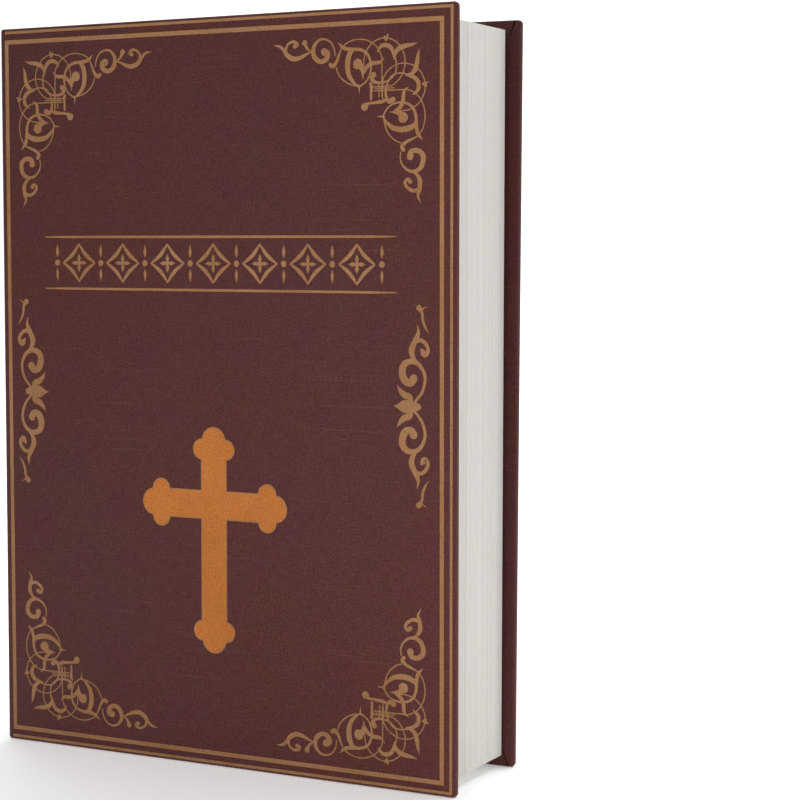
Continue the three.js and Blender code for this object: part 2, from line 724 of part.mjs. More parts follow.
function spindle() {
  const top = plateY - knobHeight + knobHeadHeight / 2 + fitGap;
  const bottom = camBackY + fitGap + nutThickness + fitGap;
  const rod = rodY(lockX, knobZ, spindleRadius, [top, bottom]);
  const shift = fenceTravel / 2;
  const eccentric = rodY(lockX + shift, knobZ - shift, eccentricRadius, [fenceFrontY, fenceBackY]);
  return join(rod, eccentric);
}

function latchCam() {
  const yRange = [camFrontY, camBackY];
  const hub = rodY(lockX, knobZ, camHubRadius, yRange);
  const tipZ = knobZ - camLength + camWidth / 2;
  const arm = block([lockX - camWidth / 2, lockX + camWidth / 2], yRange, [tipZ, knobZ]);
  const tip = rodY(lockX, tipZ, camWidth / 2, yRange);
  const bore = rodY(lockX, knobZ, spindleRadius + spindleClearance,
    [camFrontY - overrun, camBackY + overrun]);
  return cut(join(hub, arm, tip), bore);
}

function camNut() {
  const start = camBackY + fitGap;
  const hex = rodY(lockX, knobZ, nutRadius, [start, start + nutThickness], 6);
  const bore = rodY(lockX, knobZ, spindleRadius + spindleClearance,
    [start - overrun, start + nutThickness + overrun]);
  return cut(hex, bore);
}

// Keeper on the tray's fore-edge wall, which the cam turns under

function keeperLegPlace() {
  return trayFore - sheet - fitGap;
}

function keeper() {
  const legFore = keeperLegPlace();
  const zRange = [knobZ - keeperWidth / 2, knobZ + keeperWidth / 2];
  const tongueBack = camFrontY - keeperClearance;
  const tongueFront = tongueBack - keeperThickness;
  const tongue = block([legFore - keeperLength, legFore], [tongueFront, tongueBack], zRange);
  const leg = block([legFore - keeperThickness, legFore], [tongueFront, keeperFootY()], zRange);
  const holes = keeperRivetPlaces().map(([y, z]) => rodX(y, z, rivetRadius + runningGap,
    [legFore - keeperThickness - overrun, legFore + overrun], smallSides));
  return cut(join(tongue, leg), ...holes);
}

function keeperFootY() {
  return trayFloorY - fitGap;
}

function keeperRivetPlaces() {
  const y = (camFrontY + keeperFootY()) / 2;
  return [-1, 1].map((side) => [y, knobZ + side * keeperWidth / 4]);
}

// Rivets: shank into the sheet's side of the joint and a low domed head on the leaf

function rivetX(y, z, sheetFace, headFace) {
  const outward = Math.sign(headFace - sheetFace);
  const shank = [sheetFace, headFace + outward * fitGap].sort((a, b) => a - b);
  const start = headFace;
  const mid = start + outward * rivetHeadHeight / 2;
  const end = start + outward * rivetHeadHeight;
  const disc = rodX(y, z, rivetHeadRadius, [start, mid].sort((a, b) => a - b), smallSides);
  const crown = rodX(y, z, rivetHeadRadius * rivetCrownShare, [mid, end].sort((a, b) => a - b), smallSides);
  return join(rodX(y, z, rivetRadius, shank, smallSides), disc, crown);
}

function rivetY(x, z, sheetFace, headFace) {
  const mid = headFace + rivetHeadHeight / 2;
  const disc = rodY(x, z, rivetHeadRadius, [headFace, mid], smallSides);
  const crown = rodY(x, z, rivetHeadRadius * rivetCrownShare, [mid, headFace + rivetHeadHeight], smallSides);
  return join(rodY(x, z, rivetRadius, [sheetFace, headFace + runningGap], smallSides), disc, crown);
}

// Reset lever: tab outside the cover, stem through its slot, foot inside

function resetZ() {
  return housingTail + postSize + resetTabLength / 2;
}

function resetLever() {
  const z = resetZ();
  const wide = (size) => [lockX - size / 2, lockX + size / 2];
  const tab = block(wide(resetTabWidth), [coverBackY + fitGap, coverBackY + fitGap + resetTabHeight],
    [z - resetTabLength / 2, z + resetTabLength / 2]);
  const footFrontY = housingBackY - fitGap - resetFootThickness;
  const stem = block(wide(resetStemWidth), [footFrontY, coverBackY + 2 * fitGap],
    [z - resetTabLength / 4, z + resetTabLength / 4]);
  const foot = block(wide(resetTabWidth), [footFrontY, footFrontY + resetFootThickness],
    [z - resetTabLength / 2, z + resetTabLength / 2]);
  return join(tab, stem, foot);
}

// Assembly

place('front_cover_board', coverBoard([boardFrontY, pastedownFrontY]), 'board');
place('front_cover_cloth', coverCloth([clothFrontY, boardFrontY], [pastedownFrontY, coverInnerY]), 'cloth');
place('front_pastedown', pastedown([pastedownFrontY, coverInnerY]), 'paper');
place('gilt_thick_rule', ruleFrame([spineX + thickRuleSpineInset, foreX - thickRuleForeInset],
  [thickRuleInset, bookHeight - thickRuleInset], thickRuleWidth), 'gilt');
place('gilt_thin_rule', thinRule(), 'gilt');
place('gilt_cross', crossGeometry(), 'gilt');

place('back_cover_board', coverBoard([backInnerY + pastedownThickness, backY - clothThickness]), 'board');
place('back_cover_cloth', coverCloth([backY, backY - clothThickness],
  [backInnerY + pastedownThickness, backInnerY]), 'cloth');
place('back_pastedown', pastedown([backInnerY, backInnerY + pastedownThickness]), 'paper');

const spine = spineParts();
place('spine_board', spine.board, 'board');
place('spine_cloth', spine.wrap, 'cloth');
place('spine_lining', spine.lining, 'lining');

for (let index = 0; index < upperSections; index += 1) {
  place(`upper_pages_${index + 1}`, pageSection(upperSectionPlace(index)), 'paper');
}
for (let index = 0; index < lowerSections; index += 1) {
  place(`lower_pages_${index + 1}`, pageSection(lowerSectionPlace(index)), 'paper');
}

place('steel_tray', tray(), 'paintedSteel');
place('adhesive_pad', adhesivePad(), 'adhesive');
place('lid_panel', lidPanel(), 'paintedSteel');
place('hinge_fixed_leaf', fixedLeaf(), 'bareSteel');
place('hinge_moving_leaf', movingLeaf(), 'bareSteel');
place('hinge_pin', rodZ(hingeX, hingeY, hingePinRadius,
  [hingeTail - fitGap, hingeHead + fitGap], smallSides), 'bareSteel');
rivetPlaces(0).forEach((z, index) => {
  const leafFace = hingeX - hingeKnuckleRadius + hingeLeafThickness;
  place(`fixed_leaf_rivet_${index + 1}`,
    rivetX(hingeY + hingeLeafWidth * rivetPlaceShare, z, boxSpine + sheet, leafFace), 'bareSteel');
});
rivetPlaces(1).forEach((z, index) => {
  const leafFace = panelY + sheet + hingeLeafThickness;
  place(`moving_leaf_rivet_${index + 1}`,
    rivetY(hingeX + hingeLeafWidth * rivetPlaceShare, z, panelY + sheet, leafFace), 'bareSteel');
});

place('lock_plate', lockPlate(), 'blackPlate');
place('lock_plate_trim', plateTrim(), 'goldTrim');
place('lock_housing', lockHousing(), 'blackPlastic');
place('housing_cover', housingCover(), 'bareSteel');
screwPlaces().forEach((at, index) => place(`housing_screw_${index + 1}`, housingScrew(at), 'bareSteel'));
dialPlaces().forEach((z, index) => {
  place(`dial_${index + 1}`, dialRing(z), 'blackPlastic');
  place(`dial_sleeve_${index + 1}`, dialSleeve(z), 'bareSteel');
});
place('dial_axle', dialAxle(), 'bareSteel');
place('detent_spring', detentSpring(), 'bareSteel');
place('fence_bar', fenceBar(), 'bareSteel');
place('reset_lever', resetLever(), 'blackPlastic');
place('knob', knob(), 'blackPlastic');
place('spindle', spindle(), 'bareSteel');
place('latch_cam', latchCam(), 'bareSteel');
place('cam_nut', camNut(), 'bareSteel');
place('keeper', keeper(), 'bareSteel');
keeperRivetPlaces().forEach(([y, z], index) => {
  place(`keeper_rivet_${index + 1}`,
    rivetX(y, z, trayFore - sheet, keeperLegPlace() - keeperThickness), 'bareSteel');
});

export default book;
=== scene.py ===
"""Dresses a cloth-bound book whose windowed pages hide a steel box with a dial lock.

The classes hold their sizes in millimetres, in the row frame of the part: +X runs from the spine to
the fore-edge, -Y is the side of the front cover and +Z is up. Meshes are made in metres.
"""

import logging
import math
import random
from dataclasses import dataclass, field, replace
from enum import Enum
from typing import Callable, Iterable, Sequence

import bmesh
import bpy
from mathutils import Matrix, Vector


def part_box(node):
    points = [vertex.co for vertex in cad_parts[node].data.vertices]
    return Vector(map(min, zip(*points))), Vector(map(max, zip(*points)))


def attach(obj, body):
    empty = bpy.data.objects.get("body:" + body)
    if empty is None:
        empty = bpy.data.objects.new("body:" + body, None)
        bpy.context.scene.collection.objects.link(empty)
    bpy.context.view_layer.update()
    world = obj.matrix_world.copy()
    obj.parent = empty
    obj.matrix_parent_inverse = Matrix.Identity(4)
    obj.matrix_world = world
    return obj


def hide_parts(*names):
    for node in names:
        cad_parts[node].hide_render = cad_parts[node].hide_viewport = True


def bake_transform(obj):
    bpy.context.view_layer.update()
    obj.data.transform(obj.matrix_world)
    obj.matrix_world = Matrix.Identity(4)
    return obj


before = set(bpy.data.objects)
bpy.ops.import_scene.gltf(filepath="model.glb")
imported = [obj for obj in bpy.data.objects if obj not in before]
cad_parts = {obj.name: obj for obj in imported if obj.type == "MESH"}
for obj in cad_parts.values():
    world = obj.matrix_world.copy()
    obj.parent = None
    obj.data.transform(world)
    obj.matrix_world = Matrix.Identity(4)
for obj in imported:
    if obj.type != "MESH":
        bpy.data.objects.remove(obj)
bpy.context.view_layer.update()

LOG = logging.getLogger("book_safe")
MM = 0.001
SEED = 7316

Flat = tuple[float, float]
Point = tuple[float, float, float]
Stroke = Sequence[tuple[float, float, float]]
Colour = tuple[float, float, float]


class Axis(Enum):
    """Direction that a turned part or a screw runs along."""

    X = 0
    Y = 1
    Z = 2


class Face(Enum):
    """Side of the book that a cover lies on, as the sign of its outward Y."""

    FRONT = -1.0
    BACK = 1.0


class Corner(Enum):
    """Corner of the front cover, as the signs of X and Z seen from its middle."""

    HEAD_SPINE = (-1.0, 1.0)
    HEAD_FORE = (1.0, 1.0)
    TAIL_SPINE = (-1.0, -1.0)
    TAIL_FORE = (1.0, -1.0)


def linear(red: int, green: int, blue: int) -> Colour:
    """Turns a display colour of 0 to 255 into the linear values that a shader takes.

    Args:
        red: Red of the display colour.
        green: Green of the display colour.
        blue: Blue of the display colour.

    Returns:
        The three linear values.
    """
    def one(value: int) -> float:
        """Returns one channel in linear light."""
        share = value / 255
        return share / 12.92 if share <= 0.04045 else ((share + 0.055) / 1.055) ** 2.4

    return one(red), one(green), one(blue)


def tinted(colour: Colour, factor: float) -> Colour:
    """Returns the colour made darker or lighter by a factor."""
    return tuple(min(1.0, channel * factor) for channel in colour)


# Shader drawing


class ShaderPen:
    """Draws the node tree of one material."""

    def __init__(self, name: str) -> None:
        """Starts a material with one shader and its output.

        Args:
            name: Name of the material.
        """
        self.material = bpy.data.materials.new(name)
        self.material.use_nodes = True
        self.tree = self.material.node_tree
        self.tree.nodes.clear()
        self.shader = self.tree.nodes.new("ShaderNodeBsdfPrincipled")
        output = self.tree.nodes.new("ShaderNodeOutputMaterial")
        self.tree.links.new(self.shader.outputs["BSDF"], output.inputs["Surface"])

    def put(self, socket: bpy.types.NodeSocket, value: object) -> None:
        """Links a socket to another, or sets its constant.

        Args:
            socket: The input that takes the value.
            value: An output socket, a number, or a tuple of numbers.
        """
        if isinstance(value, bpy.types.NodeSocket):
            self.tree.links.new(value, socket)
        elif isinstance(value, tuple) and len(value) == 3 and socket.type == "RGBA":
            socket.default_value = (*value, 1.0)
        else:
            socket.default_value = value

    def millimetres(self) -> bpy.types.NodeSocket:
        """Returns the object's own coordinates in millimetres."""
        place = self.tree.nodes.new("ShaderNodeTexCoord")
        return self.vector("MULTIPLY", place.outputs["Object"], (1 / MM, 1 / MM, 1 / MM))

    def vector(self, operation: str, first: object, second: object) -> bpy.types.NodeSocket:
        """Returns the result of a vector operation.

        Args:
            operation: Name of the operation.
            first: The first vector.
            second: The second vector.

        Returns:
            The output socket.
        """
        node = self.tree.nodes.new("ShaderNodeVectorMath")
        node.operation = operation
        self.put(node.inputs[0], first)
        self.put(node.inputs[1], second)
        return node.outputs["Vector"]

    def math(self, operation: str, first: object, second: object = 0.0) -> bpy.types.NodeSocket:
        """Returns the result of a number operation.

        Args:
            operation: Name of the operation.
            first: The first number.
            second: The second number.

        Returns:
            The output socket.
        """
        node = self.tree.nodes.new("ShaderNodeMath")
        node.operation = operation
        self.put(node.inputs[0], first)
        self.put(node.inputs[1], second)
        return node.outputs["Value"]

    def parts(self, vector: object) -> tuple[bpy.types.NodeSocket, ...]:
        """Splits a vector.

        Args:
            vector: The vector's socket.

        Returns:
            The sockets of its X, Y and Z.
        """
        node = self.tree.nodes.new("ShaderNodeSeparateXYZ")
        self.put(node.inputs[0], vector)
        return node.outputs["X"], node.outputs["Y"], node.outputs["Z"]

    def joined(self, x: object, y: object, z: object = 0.0) -> bpy.types.NodeSocket:
        """Makes a vector from three numbers.

        Args:
            x: Its X.
            y: Its Y.
            z: Its Z.

        Returns:
            The vector's socket.
        """
        node = self.tree.nodes.new("ShaderNodeCombineXYZ")
        for socket, value in zip(node.inputs, (x, y, z)):
            self.put(socket, value)
        return node.outputs["Vector"]

    def noise(self, vector: object, stretch: Point, detail: float = 2.0,
              roughness: float = 0.5) -> bpy.types.NodeSocket:
        """Returns noise over a stretched space.

        Args:
            vector: The coordinates in millimetres.
            stretch: Cycles per millimetre along each axis.
            detail: Octaves of the noise.
            roughness: Share that each octave keeps.

        Returns:
            The noise from 0 to 1.
        """
        node = self.tree.nodes.new("ShaderNodeTexNoise")
        self.put(node.inputs["Vector"], self.vector("MULTIPLY", vector, stretch))
        node.inputs["Scale"].default_value = 1.0
        node.inputs["Detail"].default_value = detail
        node.inputs["Roughness"].default_value = roughness
        return node.outputs["Fac"]

    def ramp(self, factor: object, stops: Sequence[tuple[float, object]]) -> bpy.types.NodeSocket:
        """Returns a colour or grey read from a ramp.

        Args:
            factor: The number to look up.
            stops: Place and colour of each stop; a plain number is a grey.

        Returns:
            The colour socket.
        """
        node = self.tree.nodes.new("ShaderNodeValToRGB")
        self.put(node.inputs["Fac"], factor)
        while len(node.color_ramp.elements) < len(stops):
            node.color_ramp.elements.new(0.5)
        for element, (place, value) in zip(node.color_ramp.elements, stops):
            colour = value if isinstance(value, tuple) else (value, value, value)
            element.position = place
            element.color = (*colour, 1.0)
        return node.outputs["Color"]

    def mix(self, factor: object, first: object, second: object,
            blend: str = "MIX") -> bpy.types.NodeSocket:
        """Returns a mix of two colours.

        Args:
            factor: Share of the second colour.
            first: The first colour.
            second: The second colour.
            blend: Name of the way they mix.

        Returns:
            The colour socket.
        """
        node = self.tree.nodes.new("ShaderNodeMix")
        node.data_type = "RGBA"
        node.blend_type = blend
        self.put(node.inputs[0], factor)
        self.put(node.inputs[6], first)
        self.put(node.inputs[7], second)
        return node.outputs[2]

    def bump(self, height: object, distance_mm: float, strength: float = 1.0) -> None:
        """Raises the surface by a height.

        Args:
            height: Height from 0 to 1.
            distance_mm: How far 1 stands out, in millimetres.
            strength: Share of the effect that is kept.
        """
        node = self.tree.nodes.new("ShaderNodeBump")
        node.inputs["Strength"].default_value = strength
        node.inputs["Distance"].default_value = distance_mm * MM
        self.put(node.inputs["Height"], height)
        self.tree.links.new(node.outputs["Normal"], self.shader.inputs["Normal"])

    def finish(self, colour: object, roughness: object, **constants: object) -> bpy.types.Material:
        """Sets the shader's sockets.

        Args:
            colour: Base colour.
            roughness: Roughness.
            constants: Other sockets, with underscores in place of spaces.

        Returns:
            The finished material.
        """
        self.put(self.shader.inputs["Base Color"], colour)
        self.put(self.shader.inputs["Roughness"], roughness)
        for name, value in constants.items():
            self.put(self.shader.inputs[name.replace("_", " ")], value)
        return self.material


# Finishes


@dataclass(frozen=True)
class Weave:
    """Linen weave of the printed book cloth, shared by the bare cloth and the gilding on it."""

    thread: float = 0.46
    warp_stretch: Point = (2.6, 0.28, 0.0)
    weft_stretch: Point = (0.28, 2.6, 0.0)
    slub_stretch: Point = (0.022, 1.1, 0.0)
    grain_stretch: Point = (1.6, 1.6, 0.0)

    def plane(self, pen: ShaderPen) -> bpy.types.NodeSocket:
        """Returns coordinates that follow the cloth over front, back and spine.

        Args:
            pen: The material's pen.

        Returns:
            A vector with the place round the book and the height.
        """
        x, y, z = pen.parts(pen.millimetres())
        return pen.joined(pen.math("ADD", x, y), z)

    def tone(self, pen: ShaderPen, plane: object) -> bpy.types.NodeSocket:
        """Returns how light each thread is.

        Args:
            pen: The material's pen.
            plane: The coordinates that follow the cloth.

        Returns:
            A number around 0.5.
        """
        warp = pen.noise(plane, self.warp_stretch, 2.0, 0.6)
        weft = pen.noise(plane, self.weft_stretch, 2.0, 0.6)
        grain = pen.noise(plane, self.grain_stretch, 3.0, 0.7)
        threads = pen.math("MULTIPLY", pen.math("ADD", warp, weft), 0.22)
        return pen.math("ADD", threads, pen.math("MULTIPLY", grain, 0.56))

    def slubs(self, pen: ShaderPen, plane: object) -> bpy.types.NodeSocket:
        """Returns where a thicker thread runs across the cloth.

        Args:
            pen: The material's pen.
            plane: The coordinates that follow the cloth.

        Returns:
            A grey that is 1 on a slub.
        """
        found = pen.noise(plane, self.slub_stretch, 1.0)
        return pen.ramp(found, [(0.66, 0.0), (0.74, 1.0)])

    def relief(self, pen: ShaderPen, plane: object) -> bpy.types.NodeSocket:
        """Returns the height of the threads.

        Args:
            pen: The material's pen.
            plane: The coordinates that follow the cloth.

        Returns:
            A height from about 0 to 1.
        """
        across, up, _ = pen.parts(plane)
        rate = math.pi / self.thread
        grid = pen.math("MULTIPLY", pen.math("SINE", pen.math("MULTIPLY", across, rate)),
                        pen.math("SINE", pen.math("MULTIPLY", up, rate)))
        threads = pen.math("ADD", pen.math("MULTIPLY", grid, 0.25), self.tone(pen, plane))
        return pen.math("ADD", threads, pen.math("MULTIPLY", self.slubs(pen, plane), 0.25))


@dataclass(frozen=True)
class ClothFinish:
    """Dark red-brown printed cloth with worn threads, and painted light that pales it towards the front
    cover's lower fore-edge.
    """

    name: str = "book_cloth"
    red: Colour = linear(92, 49, 43)
    dusk: Colour = linear(86, 52, 49)
    plum: Colour = linear(88, 45, 54)
    slub: Colour = linear(140, 96, 84)
    weave: Weave = Weave()
    # Painted light: a gradient that pales the cloth towards the front cover's lower fore-edge and shades
    # the back cover.
    wear_across: float = 0.003
    wear_up: float = 1 / 600.0
    wear_middle: float = 0.498
    wear_range: Flat = (0.78, 1.3)

    def wear(self, pen: ShaderPen) -> bpy.types.NodeSocket:
        """Finds the painted light that makes the cloth paler towards the front cover's lower fore-edge and
        darker on the back cover.

        Args:
            pen: The material's pen.

        Returns:
            A grey of painted light and shade to multiply the cloth's colour with.
        """
        x, y, z = pen.parts(pen.millimetres())
        forward = pen.math("ADD", x, pen.math("MULTIPLY", y, -3.0))
        across = pen.math("MULTIPLY", forward, self.wear_across)
        share = pen.math("SUBTRACT", across, pen.math("MULTIPLY", z, self.wear_up))
        share = pen.math("ADD", share, self.wear_middle)
        return pen.ramp(share, [(0.0, self.wear_range[0]), (1.0, self.wear_range[1])])

    def material(self) -> bpy.types.Material:
        """Draws the cloth.

        Returns:
            The cloth's material.
        """
        pen = ShaderPen(self.name)
        plane = self.weave.plane(pen)
        cloud = pen.noise(plane, (0.012, 0.009, 0.0), 2.0)
        blots = pen.noise(plane, (0.07, 0.1, 0.0), 4.0, 0.65)
        ground = pen.mix(pen.ramp(cloud, [(0.35, 0.0), (0.65, 1.0)]), self.red, self.dusk)
        ground = pen.mix(pen.ramp(blots, [(0.42, 0.0), (0.7, 0.7)]), ground, self.plum)
        tone = pen.ramp(self.weave.tone(pen, plane), [(0.36, 0.58), (0.5, 0.96), (0.64, 1.42)])
        cloth = pen.mix(1.0, ground, tone, "MULTIPLY")
        slubs = pen.math("MULTIPLY", self.weave.slubs(pen, plane), 0.1)
        cloth = pen.mix(slubs, cloth, self.slub)
        # Painted light and shade multiplied into the cloth's colour.
        cloth = pen.mix(1.0, cloth, self.wear(pen), "MULTIPLY")
        pen.bump(self.weave.relief(pen, plane), 0.06, 0.8)
        rough = pen.ramp(tone, [(0.0, 0.86), (1.0, 0.68)])
        return pen.finish(cloth, rough, Sheen_Weight=0.02, Sheen_Roughness=0.5,
                          Specular_IOR_Level=0.13)


@dataclass(frozen=True)
class GiltFinish:
    """Matt foil printed on the cloth, with the weave showing through."""

    name: str
    light: Colour
    deep: Colour
    metallic: float = 0.1
    worn: Colour = linear(128, 84, 60)
    fade: float = 0.0
    fade_width: float = 200.0
    weave: Weave = Weave()

    def material(self) -> bpy.types.Material:
        """Draws the foil.

        Returns:
            The foil's material.
        """
        pen = ShaderPen(self.name)
        plane = self.weave.plane(pen)
        patch = pen.noise(plane, (0.06, 0.05, 0.0), 3.0)
        foil = pen.mix(pen.ramp(patch, [(0.35, 0.0), (0.65, 1.0)]), self.light, self.deep)
        thread = self.weave.tone(pen, plane)
        foil = pen.mix(pen.ramp(thread, [(0.55, 0.0), (0.68, 0.45)]), foil, self.worn)
        tone = pen.ramp(thread, [(0.36, 0.64), (0.5, 0.98), (0.64, 1.24)])
        foil = pen.mix(1.0, foil, tone, "MULTIPLY")
        # The foil is darker towards the spine side of the cover, evenly along its height.
        across = pen.math("MULTIPLY", pen.parts(plane)[0], 1 / self.fade_width)
        spine_dimmed = pen.ramp(pen.math("ADD", across, 0.5), [(0.0, 1.0 - self.fade), (1.0, 1.0)])
        foil = pen.mix(1.0, foil, spine_dimmed, "MULTIPLY")
        pen.bump(self.weave.relief(pen, plane), 0.04, 0.6)
        return pen.finish(foil, 0.62, Metallic=self.metallic, Specular_IOR_Level=0.16)


@dataclass(frozen=True)
class PaperFinish:
    """Uncoated paper: plain on the leaf, finely lined along the cut edges of a stack."""

    name: str
    sheet: Colour = linear(226, 223, 218)
    shade: Colour = linear(208, 203, 195)
    lines: float = 1.0

    def material(self) -> bpy.types.Material:
        """Draws the paper.

        Returns:
            The paper's material.
        """
        pen = ShaderPen(self.name)
        place = pen.millimetres()
        leaves = pen.noise(place, (0.003, 5.2, 0.003), 4.0, 0.7)
        bundles = pen.noise(place, (0.003, 0.7, 0.003), 1.0)
        fibre = pen.noise(place, (0.9, 0.9, 0.9), 4.0, 0.65)
        stripe = pen.math("ADD", pen.math("MULTIPLY", leaves, 0.7), pen.math("MULTIPLY", bundles, 0.3))
        edge = pen.ramp(stripe, [(0.34, 1.0), (0.5, 0.45), (0.62, 0.0)])
        share = pen.math("MULTIPLY", edge, 0.34 * self.lines)
        ground = pen.mix(share, self.sheet, self.shade)
        speck = pen.ramp(fibre, [(0.3, 0.95), (0.6, 1.0)])
        paper = pen.mix(1.0, ground, speck, "MULTIPLY")
        height = pen.math("ADD", pen.math("MULTIPLY", stripe, self.lines), pen.math("MULTIPLY", fibre, 0.3))
        pen.bump(height, 0.05, 0.6)
        return pen.finish(paper, 0.92, Specular_IOR_Level=0.25, Subsurface_Weight=0.04,
                          Subsurface_Radius=(0.002, 0.0016, 0.001))


@dataclass(frozen=True)
class FibreFinish:
    """Greyboard, kraft paper or foam, all with mottled fibres or pores."""

    name: str
    light: Colour
    dark: Colour
    grain: float
    relief: float = 0.08
    roughness: float = 0.9

    def material(self) -> bpy.types.Material:
        """Draws the board, the lining or the foam.

        Returns:
            Its material.
        """
        pen = ShaderPen(self.name)
        place = pen.millimetres()
        coarse = pen.noise(place, (self.grain / 5,) * 3, 3.0)
        fine = pen.noise(place, (self.grain,) * 3, 5.0, 0.7)
        both = pen.math("MULTIPLY", pen.math("ADD", coarse, fine), 0.5)
        pen.bump(fine, self.relief, 0.8)
        return pen.finish(pen.ramp(both, [(0.32, self.dark), (0.62, self.light)]), self.roughness,
                          Specular_IOR_Level=0.2)


@dataclass(frozen=True)
class PowderCoat:
    """Fine-textured powder coat on sheet steel."""

    name: str
    colour: Colour
    roughness: float = 0.52

    def material(self) -> bpy.types.Material:
        """Draws the coat.

        Returns:
            The coat's material.
        """
        pen = ShaderPen(self.name)
        place = pen.millimetres()
        grain = pen.noise(place, (2.4, 2.4, 2.4), 3.0, 0.6)
        wave = pen.noise(place, (0.5, 0.5, 0.5), 2.0)
        tone = pen.ramp(grain, [(0.3, tinted(self.colour, 0.82)), (0.7, tinted(self.colour, 1.18))])
        height = pen.math("ADD", pen.math("MULTIPLY", grain, 0.75), pen.math("MULTIPLY", wave, 0.35))
        pen.bump(height, 0.06, 0.75)
        rough = pen.ramp(grain, [(0.3, self.roughness - 0.07), (0.7, self.roughness + 0.08)])
        return pen.finish(tone, rough, Specular_IOR_Level=0.5)


@dataclass(frozen=True)
class PlatedSteel:
    """Zinc-plated steel with a fine grain and cloudy passivation."""

    name: str = "zinc_plate"
    colour: Colour = linear(190, 192, 194)
    warm: Colour = linear(190, 187, 178)

    def material(self) -> bpy.types.Material:
        """Draws the plating.

        Returns:
            The plating's material.
        """
        pen = ShaderPen(self.name)
        place = pen.millimetres()
        cloud = pen.noise(place, (0.35, 0.35, 0.35), 4.0, 0.6)
        grain = pen.noise(place, (4.2, 4.2, 1.6), 3.0, 0.6)
        metal = pen.mix(pen.ramp(cloud, [(0.42, 0.0), (0.72, 0.8)]), self.colour, self.warm)
        pen.bump(grain, 0.008, 0.5)
        rough = pen.ramp(grain, [(0.3, 0.3), (0.7, 0.42)])
        return pen.finish(metal, rough, Metallic=1.0)


@dataclass(frozen=True)
class GlossFinish:
    """Enamel, moulded plastic or lacquered trim: a base with a fine skin and handling marks."""

    name: str
    colour: Colour
    roughness: float
    metallic: float = 0.0
    grain: float = 1.4
    relief: float = 0.015
    coat: float = 0.0

    def material(self) -> bpy.types.Material:
        """Draws the skin.

        Returns:
            The skin's material.
        """
        pen = ShaderPen(self.name)
        place = pen.millimetres()
        skin = pen.noise(place, (self.grain,) * 3, 3.0, 0.55)
        marks = pen.noise(place, (0.22, 0.3, 0.2), 4.0, 0.7)
        tone = pen.ramp(skin, [(0.3, tinted(self.colour, 0.88)), (0.7, tinted(self.colour, 1.12))])
        pen.bump(skin, self.relief, 0.6)
        rough = pen.ramp(marks, [(0.35, self.roughness - 0.06), (0.7, self.roughness + 0.1)])
        return pen.finish(tone, rough, Metallic=self.metallic, Coat_Weight=self.coat,
                          Coat_Roughness=0.2)


@dataclass(frozen=True)
class Palette:
    """Every finish on the part."""

    cloth: ClothFinish = ClothFinish()
    gilt: GiltFinish = GiltFinish("ochre_foil", linear(182, 135, 95), linear(173, 125, 82), fade=0.23)
    cross: GiltFinish = GiltFinish("orange_foil", linear(206, 124, 58), linear(196, 118, 52))
    edges: PaperFinish = PaperFinish("leaf_edges")
    endpaper: PaperFinish = PaperFinish("endpaper", linear(224, 220, 210), linear(216, 211, 199), 0.0)
    board: FibreFinish = FibreFinish("greyboard", linear(168, 160, 148), linear(130, 122, 112), 2.6)
    kraft: FibreFinish = FibreFinish("kraft_lining", linear(178, 146, 106), linear(146, 114, 78), 1.6)
    foam: FibreFinish = FibreFinish("foam_tape", linear(232, 228, 214), linear(206, 200, 184), 3.2, 0.12)
    panel: PowderCoat = PowderCoat("powder_coat", linear(88, 91, 97))
    inside: PowderCoat = PowderCoat("powder_coat_tray", linear(80, 83, 88), 0.56)
    steel: PlatedSteel = PlatedSteel()
    enamel: GlossFinish = GlossFinish("black_enamel", linear(27, 27, 29), 0.34, 0.0, 1.0, 0.02, 0.25)
    plastic: GlossFinish = GlossFinish("black_plastic", linear(26, 26, 27), 0.4)
    knob: GlossFinish = GlossFinish("knob_plastic", linear(24, 24, 25), 0.3, 0.0, 0.8, 0.012, 0.3)
    brass: GlossFinish = GlossFinish("gold_line", linear(205, 164, 84), 0.34, 0.85, 2.0, 0.01)
    digit: GlossFinish = GlossFinish("digit_paint", linear(226, 226, 222), 0.5, 0.0, 3.0, 0.01)

    def made(self) -> dict[str, bpy.types.Material]:
        """Returns one material for each finish, by the finish's field name."""
        return {name: getattr(self, name).material() for name in self.__dataclass_fields__}


# Meshes


